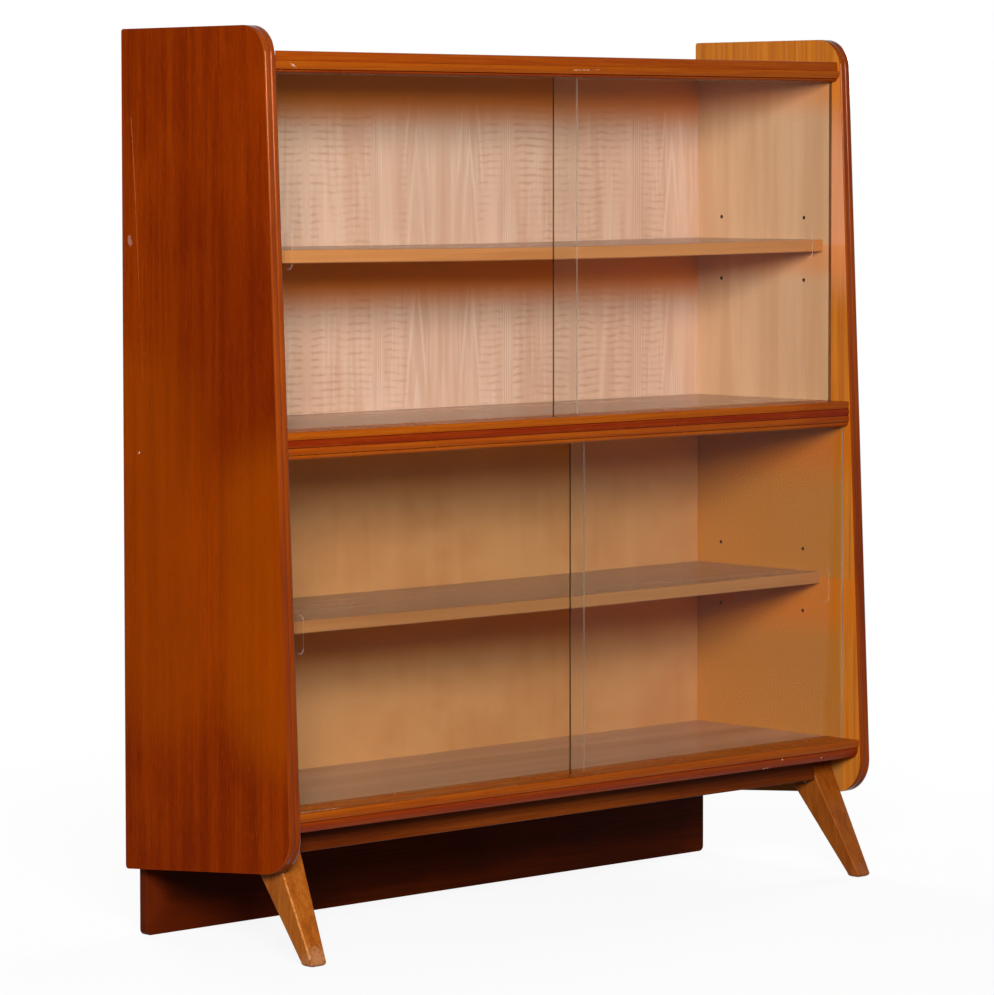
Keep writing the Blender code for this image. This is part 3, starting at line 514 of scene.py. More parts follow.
@dataclass(frozen=True)
class FiguredVeneer(WoodFinish):
    """Book-matched veneer: ripple bars, upright lines and pale pointed flames."""

    leaf_start: float = -0.245
    leaf_width: float = 0.265
    leaf_drift: float = 0.12
    leaf_depth: float = 0.05
    broad: Layer = Layer(0.035, 0.45, 4.0, 0.6, 0.8, low=0.30, high=0.72)
    ripple_pitch: float = 0.0105
    ripple_share: float = 0.46
    ripple_columns: tuple[Point3, ...] = ((0.012, 0.120, 1.0), (0.150, 0.190, 0.7))
    ripple_soft: float = 0.008
    ripple_wave: Layer = Layer(0.045, 0.080)
    ripple_bend: float = 9.0
    ripple_fade: Layer = Layer(0.045, 0.22, low=0.36, high=0.56, start=0.15)
    ripple_break: Layer = Layer(0.022, 0.007, 1.0, low=0.36, high=0.60, start=0.25)
    line_pitch: float = 0.0046
    line_groups: tuple[Point3, ...] = ((0.128, 0.146, 0.40), (0.218, 0.230, 0.20))
    line_waver: Layer = Layer(0.5, 0.30, 1.0, low=0.35, high=0.60, start=1.0, end=0.35)
    line_bend: float = 0.008
    line_soft: float = 0.003
    line_edge: Point2 = (0.1, 0.9)
    flame_middle: float = 0.212
    flame_half: float = 0.034
    flame_slope: float = 9.0
    flame_pitch: float = 0.180
    flame_share: float = 0.34
    flame_edge: Point2 = (0.35, 1.0)
    flame_ragged: Layer = Layer(0.020, 0.16)
    flame_bend: float = 0.06
    flame_streaks: Layer = Layer(0.006, 0.16, low=0.50, high=0.66)
    streak_share: float = 0.6
    flame_fade: Layer = Layer(0.08, 0.30, 1.0, low=0.38, high=0.58)
    pale: Tone = "e6d0c2"
    line: Tone = "a67d60"
    lower_level: float = 0.69
    lower_dark: Tone = "9c663a"
    lower_body: Tone = "b27a4a"
    lower_light: Tone = "c08c5a"
    lower_share: float = 0.8
    mottle_scale: Point3 = (9.0, 9.0, 14.0)
    mottle_limits: Point4 = (0.35, 0.65, 0.0, 0.5)
    rear_dark: Tone = "a07a52"
    rear_light: Tone = "b99570"
    rear_limits: Point2 = (0.25, 0.75)

    def matched(self, graph: ShaderGraph) -> Socket:
        """Return the distance across one leaf, mirrored at every joint of the leaves."""
        run = graph.math("DIVIDE", graph.math("SUBTRACT", graph.x, self.leaf_start),
                         self.leaf_width)
        return graph.times(graph.math("PINGPONG", run, 1.0), self.leaf_width)

    def on_leaf(self, graph: ShaderGraph, across: Socket, layer: Layer) -> Socket:
        """Return a layer's noise, which differs a little from one leaf to the next."""
        drift = graph.times(graph.x, self.leaf_drift)
        place = graph.add("ShaderNodeCombineXYZ", {0: across, 1: drift, 2: graph.z}).outputs[0]
        scale = (1.0 / layer.width, 1.0 / self.leaf_depth, 1.0 / layer.length)
        stretched = graph.vector("MULTIPLY", place, scale).outputs[0]
        return graph.noise(stretched, layer.detail, layer.rough, layer.warp)

    def eased(self, graph: ShaderGraph, across: Socket, layer: Layer) -> Socket:
        """Return a layer's noise eased between its limits."""
        return layer.eased(graph, self.on_leaf(graph, across, layer))

    def ripples(self, graph: ShaderGraph, across: Socket) -> Socket:
        """Return the thin wavy bars that cross the upright columns."""
        warp = self.on_leaf(graph, across, self.ripple_wave)
        rows = graph.times(graph.z, math.tau / self.ripple_pitch)
        rows = graph.math("ADD", rows, graph.times(warp, self.ripple_bend))
        bars = graph.span(graph.math("SINE", rows), 0.0, 1.0)
        cover = 0.0
        for low, high, share in self.ripple_columns:
            column = graph.window(across, low, high, self.ripple_soft)
            cover = graph.math("ADD", graph.times(column, share), cover)
        bars = graph.times(bars, self.eased(graph, across, self.ripple_break))
        return graph.times(bars, cover, self.eased(graph, across, self.ripple_fade))

    def upright_lines(self, graph: ShaderGraph, across: Socket) -> tuple[Socket, Socket]:
        """Return the pale and the dark fine lines of the upright groups."""
        waver = self.on_leaf(graph, across, self.line_waver)
        shifted = graph.math("ADD", across, graph.times(waver, self.line_bend))
        wave = graph.math("SINE", graph.times(shifted, math.tau / self.line_pitch))
        cover = 0.0
        middle = self.line_bend / 2.0
        for low, high, share in self.line_groups:
            group = graph.window(shifted, low + middle, high + middle, self.line_soft)
            cover = graph.math("ADD", graph.times(group, share), cover)
        cover = graph.times(cover, self.line_waver.eased(graph, waver))
        low, high = self.line_edge
        pale = graph.eased_share(wave, (low, high), cover)
        dark = graph.eased_share(wave, (-low, -high), cover)
        return pale, dark

    def flames(self, graph: ShaderGraph, across: Socket) -> Socket:
        """Return the tall pointed pale arcs of the cathedral figure."""
        off = graph.math("ABSOLUTE", graph.math("SUBTRACT", across, self.flame_middle))
        ragged = self.on_leaf(graph, across, self.flame_ragged)
        rise = graph.math("ADD", graph.z, graph.times(off, self.flame_slope))
        rise = graph.math("ADD", rise, graph.times(ragged, self.flame_bend))
        arcs = graph.math("SINE", graph.times(rise, math.tau / self.flame_pitch))
        arcs = graph.span(arcs, *self.flame_edge)
        cover = graph.span(off, self.flame_half, self.flame_half * 0.5)
        streaks = graph.times(self.eased(graph, across, self.flame_streaks), self.streak_share)
        both = graph.math("MAXIMUM", graph.times(arcs, cover), streaks)
        return graph.times(both, self.eased(graph, across, self.flame_fade))

    def upper(self, graph: ShaderGraph, across: Socket, broad: Socket) -> Socket:
        """Return the rippled figure of the upper bay."""
        tone = graph.blend(self.broad.eased(graph, broad), self.dark, self.light)
        tone = graph.blend(0.5, tone, self.body)
        flame = graph.times(self.flames(graph, across), self.flame_share)
        tone = graph.blend(flame, tone, self.pale)
        pale, dark = self.upright_lines(graph, across)
        tone = graph.blend(pale, tone, self.pale)
        tone = graph.blend(dark, tone, self.line)
        bars = graph.times(self.ripples(graph, across), self.ripple_share)
        return graph.blend(bars, tone, self.line)

    def lower(self, graph: ShaderGraph, broad: Socket) -> Socket:
        """Return the plain mottled figure of the lower bay."""
        tone = graph.eased_blend(broad, EVEN, self.lower_dark, self.lower_light)
        tone = graph.blend(self.lower_share, tone, self.lower_body)
        mottle = graph.noise(graph.laid(ORIGIN, self.mottle_scale), 3.0, 0.6)
        return graph.eased_blend(mottle, self.mottle_limits, tone, self.lower_light)

    def colour(self, graph: ShaderGraph) -> Socket:
        """Return the figures of both bays and the plain rear face."""
        across = self.matched(graph)
        broad = self.on_leaf(graph, across, self.broad)
        above = graph.math("GREATER_THAN", graph.z, self.lower_level)
        front = graph.blend(above, self.lower(graph, broad), self.upper(graph, across, broad))
        rear = graph.eased_blend(broad, self.rear_limits, self.rear_dark, self.rear_light)
        return graph.blend(graph.math("GREATER_THAN", graph.y, REAR - SKIN / 2.0), front, rear)


@dataclass(frozen=True)
class InnerSideVeneer(WoodFinish):
    """Inner face of a side board: faded tan behind the glass, orange outside it, with a painted
    highlight on the orange high up.
    """

    level: float = 0.69
    top_level: float = 1.2125
    outer_dark: Tone = "a85c16"
    outer_light: Tone = "c4741c"
    painted_highlight_tone: Tone = "d49068"
    lower_tone: Tone = "a96820"
    lower_share: float = 0.97
    streak_size: Point2 = (0.006, 0.25)
    painted_highlight_levels: Point3 = (0.96, 1.07, 0.13)
    painted_highlight_share: float = 0.85

    def tones(self, graph: ShaderGraph) -> Socket:
        """Return the tan, the darker lower tan or the orange of each zone, with a painted highlight
        on the upper orange.
        """
        tone = super().tones(graph)
        upper = graph.math("GREATER_THAN", graph.z, self.level)
        lower_cover = graph.times(graph.math("SUBTRACT", 1.0, upper), self.lower_share)
        tone = graph.blend(lower_cover, tone, self.lower_tone)
        step = graph.times(upper, UPPER_GLASS - LOWER_GLASS)
        line = graph.math("ADD", step, LOWER_GLASS)
        depth = graph.math("SUBTRACT", REAR, graph.y)
        outside = graph.math("GREATER_THAN", depth, line)
        outside = graph.math("MAXIMUM", outside,
                             graph.math("GREATER_THAN", graph.z, self.top_level))
        streak = self.along_grain(graph, self.streak_size, 3.0)
        warm = graph.eased_blend(streak, EVEN, self.outer_dark, self.outer_light)
        # painted highlight: the orange strip turns paler between these levels
        faded = graph.times(graph.window(graph.z, *self.painted_highlight_levels), self.painted_highlight_share)
        warm = graph.blend(faded, warm, self.painted_highlight_tone)
        return graph.blend(outside, tone, warm)


@dataclass(frozen=True)
class BandedPolish(WoodFinish):
    """Moulding polish whose reeds carry painted highlight and shade tones, with painted shade in
    the grooves.
    """

    # painted shade in the grooves and in the glass track slots
    groove: Tone = "4c1402"
    groove_shade_limits: Point2 = (0.35, 0.95)
    streak_size: Point2 = (0.004, 0.20)
    streak_share: float = 0.7

    def tones(self, graph: ShaderGraph) -> Socket:
        """Return the painted highlight or shade tone of each reed from the attribute of its band.
        """
        band = graph.add("ShaderNodeAttribute", attribute_name="band").outputs["Fac"]
        streak = self.along_grain(graph, self.streak_size, 3.0, 0.6)
        stir = graph.times(graph.math("SUBTRACT", streak, 0.5), self.streak_share)
        stirred = graph.math("MAXIMUM", graph.math("ADD", band, stir), 0.0, clamp=True)
        return graph.blend(stirred, self.dark, self.light)

    def worn(self, graph: ShaderGraph, colour: Socket) -> Socket:
        """Return the colour with painted shade in the grooves and with the marks."""
        groove = graph.add("ShaderNodeAttribute", attribute_name="groove").outputs["Fac"]
        stained = graph.eased_blend(groove, self.groove_shade_limits, colour, self.groove)
        return super().worn(graph, stained)


@dataclass(frozen=True)
class GlassFinish:
    """Clear or ground float glass that lets lamps through."""

    name: str
    tint: Tone = "f8faf8"
    clean: Tone = "fdfefd"
    passing: Tone = "fcfdfc"
    roughness: float = 0.0
    milk: float = 0.0
    bend: float = 1.50
    smear_scale: Point3 = (5.0, 5.0, 2.0)
    smear_limits: Point2 = (0.35, 0.75)

    def build(self) -> bpy.types.Material:
        """Return the finished material."""
        graph = ShaderGraph(self.name)
        smear = graph.noise(graph.laid(ORIGIN, self.smear_scale), 4.0, 0.6)
        shader = graph.add("ShaderNodeBsdfPrincipled", {
            "Base Color": graph.eased_blend(smear, self.smear_limits, self.tint, self.clean),
            "Roughness": self.roughness,
            "IOR": self.bend,
            "Transmission Weight": 1.0 - self.milk,
        })
        clear = graph.add("ShaderNodeBsdfTransparent", {"Color": linear(self.passing)})
        path = graph.add("ShaderNodeLightPath")
        through = graph.math("MAXIMUM", path.outputs["Is Shadow Ray"],
                             path.outputs["Is Diffuse Ray"])
        mix = {0: through, 1: shader.outputs[0], 2: clear.outputs[0]}
        return graph.close(graph.add("ShaderNodeMixShader", mix))


@dataclass(frozen=True)
class MetalFinish:
    """Turned metal with a little tarnish."""

    name: str
    body: Tone
    tarnish: Tone
    roughness: float = 0.35
    spot_size: float = 0.0024
    spot_limits: Point2 = (0.45, 0.7)
    shine: float = 0.1
    dulling: float = 0.15
    bump_depth: float = 0.00005

    def build(self) -> bpy.types.Material:
        """Return the finished material."""
        graph = ShaderGraph(self.name)
        spots = graph.even_noise(self.spot_size)
        colour = graph.eased_blend(spots, self.spot_limits, self.body, self.tarnish)
        shine, dull = self.roughness - self.shine, self.roughness + self.dulling
        shader = graph.add("ShaderNodeBsdfPrincipled", {
            "Base Color": colour,
            "Metallic": 1.0,
            "Roughness": graph.span(spots, *EVEN, shine, dull),
            "Normal": graph.bump(spots, self.bump_depth),
        })
        return graph.close(shader)


class Finishes:
    """Every finish of the bookcase, made once."""

    def __init__(self) -> None:
        """Build the materials by name."""
        front = REAR - 0.342
        head = REAR - 0.2986
        # tone of the painted shade under the top board and the upper shelf
        chip = "dcb898"
        kept = "d07428"
        satin = {
            "grain": Grain.ALONG_X, "line_share": 0.16, "line_width": 0.006, "line_length": 0.60,
            "pore_share": 0.0, "roughness": 0.25, "roughness_spread": 0.015, "specular": 0.45,
            "sheen_tone": "fff0e8", "figure_width": 0.07, "figure_length": 1.4,
            "bump_depth": 0.000001,
        }
        planed = {
            "grain": Grain.ALONG_X, "line_share": 0.2, "line_length": 0.30, "roughness": 0.34,
            "specular": 0.2, "figure_length": 0.9, "bump_depth": 0.000008,
        }
        self.side = WoodFinish(
            "stained_side_veneer", "641801", "802901", "9c3b01", figure_width=0.022,
            figure_share=0.4, patch_share=0.4, line_width=0.002, line_length=0.12, line_share=0.35,
            dash_share=0.45, dash_length=0.018, roughness=0.32, roughness_spread=0.03,
            specular=0.012, sheen_tone="ff7828",
            marks=(
                Mark((-0.575, 0.115, 0.7), (-0.575, 0.115, 0.4), 0.17, "aa4a00", 0.34, 0.04),
                Mark((-0.575, -0.12, 0.6), (-0.575, -0.13, 0.36), 0.15, "b05000", 0.38, 0.04),
                Mark((-0.575, -0.03, 0.88), (-0.575, -0.03, 0.78), 0.2, "581200", 0.26, 0.04),
                Mark((-0.575, 0.1619, 1.1279), (-0.575, 0.1533, 1.0143),
                     0.0011, "b8683c", 0.6, 0.6),
                Mark((-0.575, 0.1533, 1.0143), (-0.575, 0.1475, 0.9053), 0.001, "b06030", 0.5, 0.7),
                Mark((-0.575, 0.1475, 0.9053), (-0.575, 0.1397, 0.769), 0.0009, "a8541c", 0.4, 0.8),
                Mark((-0.575, 0.1669, 0.961), (-0.575, 0.165, 0.956), 0.006, "c49484", 0.45, 0.6),
                Mark((-0.575, 0.1483, 0.6702), (-0.575, 0.1483, 0.6695),
                     0.0016, "e8d0c0", 0.8, 0.3),
            ),
        ).build()
        self.bead = WoodFinish(
            "polished_bead", "501200", "782a02", "964406", line_share=0.2, roughness=0.14,
            roughness_spread=0.03, specular=0.15, sheen_tone="ffb090", pore_share=0.1,
            bump_depth=0.00001,
            marks=(
                Mark((0.562, REAR - 0.265, 1.2296), (0.562, REAR - 0.26, 1.2303),
                     0.0022, "e6c8a8", 0.8),
            ),
        ).build()
        wall = Box.of("side_right").low.x
        self.inner = InnerSideVeneer(
            "inner_side_veneer", "b28259", "c79d78", "d2ac89", line_share=0.14, pore_share=0.0,
            figure_share=0.35, bump_depth=0.000004, roughness=0.42, roughness_spread=0.04,
            specular=0.12,
            shaded=(
                Shade("top_board", 0.07, kept, 0.5),
                Shade("shelf_upper", 0.05, kept, 0.4),
                Shade("middle_board", 0.13, "b86010", 0.8),
                Shade("shelf_lower", 0.1, "c06818", 0.75),
            ),
            marks=(
                # painted shadow: a dark line on the right board where the upper front pane's edge
                # meets it
                Mark((wall, REAR - 0.2802, 0.708), (wall, REAR - 0.2802, 1.184),
                     0.002, "4a1c06", 0.85, 0.15),
            ),
        ).build()
        self.moulding = BandedPolish(
            "polished_moulding", "741501", "983a04", "a8540a", grain=Grain.ALONG_X, line_share=0.25,
            dash_share=0.2, roughness=0.24, specular=0.08, sheen_tone="ffa060",
            marks=(
                Mark((-0.549, front + 0.012, 0.203), (-0.475, front + 0.012, 0.203),
                     0.0028, chip, 0.7, 1.0),
                Mark((-0.384, front + 0.008, 0.203), (-0.301, front + 0.006, 0.203),
                     0.0016, chip, 0.5, 1.3),
                Mark((-0.188, front + 0.006, 0.203), (-0.15, front + 0.006, 0.203),
                     0.0015, chip, 0.5, 1.3),
                Mark((0.352, front + 0.008, 0.1775), (0.362, front + 0.008, 0.1775),
                     0.0016, chip, 0.45, 0.9),
                Mark((0.388, front + 0.004, 0.1877), (0.389, front + 0.004, 0.1877),
                     0.0016, chip, 0.9, 0.3),
                Mark((0.475, front + 0.005, 0.1825), (0.476, front + 0.005, 0.1825),
                     0.0014, chip, 0.9, 0.3),
                Mark((-0.536, head + 0.003, 1.2011), (-0.517, head + 0.002, 1.1908),
                     0.0016, chip, 0.7, 1.0),
                Mark((0.0, head + 0.002, 1.1947), (0.05, head + 0.002, 1.1954),
                     0.0011, chip, 0.5, 1.2),
                Mark((0.53, REAR - 0.317, 0.69), (0.565, REAR - 0.317, 0.69),
                     0.11, "701a02", 0.35, 0.05),
            ),
        ).build()
        # partly wood colour, partly painted sheen: the board colour is greyed and paled for the
        # reflection on the board tops
        self.board = WoodFinish("board_veneer", "8c6450", "a77e66", "b8917a", **satin).build()
        self.back = FiguredVeneer(
            "figured_back_veneer", "c09377", "cfa78f", "dbb9a3", roughness=0.42, specular=0.16,
            bump_depth=0.00002,
            # painted shade bands on the back under each board and shelf
            shaded=(
                Shade("top_board", 0.09, "d87814", 0.95),
                Shade("shelf_upper", 0.09, "e07c10", 1.0),
                Shade("middle_board", 0.12, "e88420", 0.88),
                Shade("shelf_lower", 0.105, "e47e20", 0.85),
            ),
        ).build()
        self.shelf = WoodFinish("shelf_veneer", "9a5a2c", "bc743c", "cc8a52", **planed).build()
        # painted sheen: the top faces of the shelves get a paler, greyer copy of the shelf wood
        self.shelf_top = WoodFinish(
            "shelf_top_veneer", "886350", "a47c66", "b69078", **satin,
        ).build()
        self.lower_shelf = WoodFinish(
            "lower_shelf_veneer", "7e4c28", "9e6436", "b07846", **planed,
        ).build()
        self.lower_shelf_top = WoodFinish(
            "lower_shelf_top_veneer", "78594a", "957462", "a88876", **satin,
        ).build()
        # painted shade: the walls of the pin holes are dark
        self.hole_shade = WoodFinish(
            "pin_hole_painted_shade", "30120a", "401c0c", "502610", roughness=0.6, specular=0.05,
        ).build()
        self.leg = WoodFinish(
            "leg_wood", "74360a", "984e10", "b06622", roughness=0.38, line_share=0.3, specular=0.07,
            figure_width=0.014, figure_length=0.2, dash_share=0.25, dash_length=0.02,
            marks=(
                Mark((-0.554, REAR - 0.2785, 0.173), (-0.554, REAR - 0.3615, 0.008),
                     0.0015, "c8884c", 0.55, 1.2),
                Mark((-0.541, REAR - 0.356, 0.001), (-0.541, REAR - 0.354, 0.01),
                     0.021, "b8845c", 0.5, 0.4),
                Mark((0.541, REAR - 0.356, 0.001), (0.541, REAR - 0.354, 0.008),
                     0.018, "b07850", 0.35, 0.4),
                Mark((0.517, REAR - 0.29, 0.09), (0.516, REAR - 0.296, 0.08),
                     0.001, "30120a", 0.8, 0.6),
                # painted shade: the whole right leg is darkened
                Mark((0.54, REAR - 0.26, 0.17), (0.54, REAR - 0.34, 0.01),
                     0.12, "6c2a06", 0.35, 0.02),
            ),
        ).build()
        self.plinth = WoodFinish(
            "dark_plinth_stain", "260801", "441301", "602002", grain=Grain.ALONG_X, roughness=0.45,
            patch_share=0.5, figure_share=0.5, specular=0.04, sheen_tone="ff8040",
            marks=(
                Mark((-0.555, REAR - 0.02, 0.04), (-0.555, REAR - 0.02, 0.16),
                     0.045, "5c1e06", 0.75, 0.2),
                Mark((-0.52, REAR - 0.02, 0.015), (-0.3, REAR - 0.02, 0.01),
                     0.03, "4a1404", 0.5, 0.3),
            ),
        ).build()
        self.apron = WoodFinish(
            "apron_stain", "441402", "662806", "824010", grain=Grain.ALONG_X, roughness=0.42,
            specular=0.04, dash_share=0.2,
        ).build()
        self.rear_glass = GlassFinish("rear_pane_glass", bend=1.08).build()
        self.front_glass = GlassFinish("front_pane_glass", bend=1.14).build()
        # painted reflection: dark end faces of the panes
        self.painted_dark_edge = GlassFinish(
            "glass_edge_painted_dark", "342e20", "40382a", roughness=0.3, bend=1.1,
        ).build()
        # painted highlight on some end faces of the panes
        self.painted_edge_highlight = GlassFinish(
            "glass_edge_painted_highlight", "c8c4b4", "d4d0c2", roughness=0.4, milk=0.12,
        ).build()
        self.sunk = GlassFinish("sunk_pull_glass", "fafaf8", roughness=0.1, bend=1.1).build()
        self.ground = GlassFinish(
            "ground_pull_glass", "f4f2ea", roughness=0.45, milk=0.09, bend=1.18,
        ).build()
        self.steel = MetalFinish("screw_steel", "9a958c", "5c4f42").build()
        self.brass = MetalFinish("pin_brass", "a8874e", "54401f", 0.3).build()
        self.dowel = WoodFinish(
            "dowel_beech", "a8865c", "c9a678", "d8ba92", grain=Grain.ALONG_X, roughness=0.6,
            figure_width=0.004, figure_length=0.05,
        ).build()


def mesh_object(name: str, builder: bmesh.types.BMesh,
                materials: Sequence[bpy.types.Material]) -> bpy.types.Object:
    """Turn a finished bmesh into an object at the origin.

    Args:
        name: Name of the piece.
        builder: The shape, which is freed.
        materials: Materials in the order of the faces' slots.

    Returns:
        The new object.
    """
    bmesh.ops.recalc_face_normals(builder, faces=builder.faces)
    mesh = bpy.data.meshes.new(name)
    builder.to_mesh(mesh)
    builder.free()
    for material in materials:
        mesh.materials.append(material)
    piece = bpy.data.objects.new(name, mesh)
    bpy.context.scene.collection.objects.link(piece)
    return piece


def settle(piece: bpy.types.Object) -> bpy.types.Object:
    """Apply every modifier of a piece and keep its plain mesh.

    Args:
        piece: Object with live modifiers.

    Returns:
        The same object.
    """
    graph = bpy.context.evaluated_depsgraph_get()
    mesh = bpy.data.meshes.new_from_object(piece.evaluated_get(graph), depsgraph=graph)
    mesh.name = piece.name
    piece.modifiers.clear()
    piece.data = mesh
    return piece


def shade(piece: bpy.types.Object, degrees: float) -> None:
    """Shade a piece smoothly, with edges sharper than an angle kept crisp."""
    piece.data.shade_smooth()
    piece.data.set_sharp_from_angle(angle=math.radians(degrees))


def even_flats(piece: bpy.types.Object) -> None:
    """Shade the flat faces of a piece evenly and keep its plain mesh."""
    piece.modifiers.new("even_flats", "WEIGHTED_NORMAL").keep_sharp = True
    settle(piece)


def ease_edges(piece: bpy.types.Object, width: float, segments: int = 2,
               degrees: float = 40.0) -> None:
    """Round the corners of a piece and shade its flats evenly.

    Args:
        piece: The object to finish.
        width: Width of the rounding in metres.
        segments: Steps of the rounding.
        degrees: Corners blunter than this stay as they are.
    """
    bevel = piece.modifiers.new("eased_edges", "BEVEL")
    bevel.width = width
    bevel.segments = segments
    bevel.limit_method = "ANGLE"
    bevel.angle_limit = math.radians(degrees)
    bevel.use_clamp_overlap = True
    piece.data.shade_smooth()
    even_flats(piece)


def loft(rings: Sequence[Sequence[Point3]]) -> bmesh.types.BMesh:
    """Skin rings of equal length into a closed solid, with the ring faces first."""
    builder = bmesh.new()
    skins = [[builder.verts.new(place) for place in ring] for ring in rings]
    builder.faces.new(skins[0])
    builder.faces.new(skins[-1])
    for lower, upper in zip(skins, skins[1:]):
        for index in range(len(lower)):
            after = (index + 1) % len(lower)
            builder.faces.new((lower[index], lower[after], upper[after], upper[index]))
    return builder


def prism(points: Sequence[Point2], axis: int, start: float, end: float) -> bmesh.types.BMesh:
    """Push a flat outline along one axis into a closed solid.

    Args:
        points: The outline in the two other axes, in their order.
        axis: 0 for X, 1 for Y and 2 for Z.
        start: Place of the first face along the axis.
        end: Place of the last face.

    Returns:
        The solid.
    """
    rings = []
    for level in (start, end):
        ring = []
        for point in points:
            place = list(point)
            place.insert(axis, level)
            ring.append(tuple(place))
        rings.append(ring)
    return loft(rings)


def rectangle(low: Point2, high: Point2) -> list[Point2]:
    """Return the four corners between two opposite ones."""
    return [low, (high[0], low[1]), high, (low[0], high[1])]


def arc(centre: Point2, radius: float, start: float, end: float, steps: int) -> list[Point2]:
    """Return the points of an arc, both ends included."""
    points = []
    for index in range(steps + 1):
        angle = start + (end - start) * index / steps
        points.append((centre[0] + radius * math.cos(angle), centre[1] + radius * math.sin(angle)))
    return points


def carve(piece: bpy.types.Object, cutters: Iterable[bpy.types.Object]) -> None:
    """Cut closed shapes out of a piece and delete them.

    Args:
        piece: Object that is cut.
        cutters: Closed objects.
    """
    cutters = list(cutters)
    for cutter in cutters:
        modifier = piece.modifiers.new("carve", "BOOLEAN")
        modifier.operation = "DIFFERENCE"
        modifier.solver = "EXACT"
        modifier.material_mode = "TRANSFER"
        modifier.object = cutter
    settle(piece)
    for cutter in cutters:
        bpy.data.objects.remove(cutter, do_unlink=True)


def hand_over(piece: bpy.types.Object, body: str, nodes: Sequence[str]) -> None:
    """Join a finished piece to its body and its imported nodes.

    Args:
        piece: The finished object.
        body: Body that carries it.
        nodes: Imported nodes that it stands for.
    """
    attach(piece, body)
    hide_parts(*nodes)
    LOG.info("%s on %s for %s", piece.name, body, ", ".join(nodes))


def dress(node: str, material: bpy.types.Material) -> None:
    """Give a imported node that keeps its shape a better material."""
    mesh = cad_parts[node].data
    mesh.materials.clear()
    mesh.materials.append(material)
    LOG.info("%s keeps its solid with %s", node, material.name)


class FormGraph(NodeGraph):
    """One Geometry Nodes tree with named sizes, grown on a base mesh."""

    def __init__(self, name: str) -> None:
        """Start an empty tree that takes a base mesh and a finish.

        Args:
            name: Name of the tree.
        """
        super().__init__(bpy.data.node_groups.new(name, "GeometryNodeTree"))
        self.keys: dict[str, str] = {}
        self.tree.interface.new_socket(name="Geometry", in_out="OUTPUT",
                                       socket_type="NodeSocketGeometry")
        self.entry = self.tree.nodes.new("NodeGroupInput")
        self.base = self.size("Base", "NodeSocketGeometry")
        self.finish = self.size("Finish", "NodeSocketMaterial")

    def size(self, name: str, kind: str = "NodeSocketFloat") -> Socket:
        """Add one named input and return its socket inside the tree."""
        item = self.tree.interface.new_socket(name=name, in_out="INPUT", socket_type=kind)
        self.keys[name] = item.identifier
        return self.entry.outputs[name]

    def sizes(self, *names: str) -> list[Socket]:
        """Add several number inputs and return their sockets in order."""
        return [self.size(name) for name in names]

    def vector(self, x: Any = 0.0, y: Any = 0.0, z: Any = 0.0) -> Socket:
        """Return a vector of three numbers or sockets."""
        return self.add("ShaderNodeCombineXYZ", {0: x, 1: y, 2: z}).outputs[0]

    def join(self, *parts: Socket) -> Socket:
        """Return several forms as one."""
        node = self.add("GeometryNodeJoinGeometry")
        for part in parts:
            self.tree.links.new(part, node.inputs[0])
        return node.outputs[0]

    def cone(self, facets: int, start: Socket, end: Socket, length: Socket) -> Socket:
        """Return a closed cone or rod along +Z with its radii at both ends."""
        inputs = {"Vertices": facets, "Radius Bottom": start, "Radius Top": end, "Depth": length}
        return self.add("GeometryNodeMeshCone", inputs).outputs["Mesh"]

    def moved(self, form: Socket, shift: Socket) -> Socket:
        """Return a form moved by a vector."""
        return self.add("GeometryNodeTransform",
                        {"Geometry": form, "Translation": shift}).outputs[0]

    def on_points(self, form: Socket, turn: Socket) -> Socket:
        """Return the form set on every point of the base and turned."""
        inputs = {"Points": self.base, "Instance": form, "Rotation": turn}
        return self.add("GeometryNodeInstanceOnPoints", inputs).outputs[0]

    def close(self, form: Socket) -> None:
        """End the tree with real faces that wear the finish."""
        real = self.add("GeometryNodeRealizeInstances", {"Geometry": form}).outputs[0]
        worn = self.add("GeometryNodeSetMaterial",
                        {"Geometry": real, "Material": self.finish}).outputs[0]
        self.tree.links.new(worn, self.tree.nodes.new("NodeGroupOutput").inputs[0])

    def grow(self, base: bpy.types.Object, finish: bpy.types.Material, sizes: dict[str, Any],
             degrees: float = 35.0) -> bpy.types.Object:
        """Run the tree on a base object and keep the result as its plain mesh.

        Args:
            base: Object whose mesh holds the points or the section.
            finish: Material of the new faces.
            sizes: Values by the names of the inputs.
            degrees: Edges sharper than this stay crisp.

        Returns:
            The base object with its new mesh.
        """
        modifier = base.modifiers.new("form", "NODES")
        modifier.node_group = self.tree
        modifier[self.keys["Finish"]] = finish
        for name, value in sizes.items():
            modifier[self.keys[name]] = value
        settle(base)
        shade(base, degrees)
        return base


def points_object(name: str, places: Sequence[Point3]) -> bpy.types.Object:
    """Return an object whose mesh is only the given points."""
    builder = bmesh.new()
    for place in places:
        builder.verts.new(place)
    return mesh_object(name, builder, ())


class BoreForm(FormGraph):
    """Round cutters, one per point, that start outside the surface."""

    facets = 20

    def __init__(self) -> None:
        """Build the tree with Radius, Depth, Overrun and Turn."""
        super().__init__("round_bores")
        radius, depth, overrun = self.sizes("Radius", "Depth", "Overrun")
        turn = self.size("Turn", "NodeSocketVector")
        length = self.math("ADD", depth, overrun)
        rod = self.cone(self.facets, radius, radius, length)
        rod = self.moved(rod, self.vector(z=self.times(overrun, -1.0)))
        self.close(self.on_points(rod, turn))


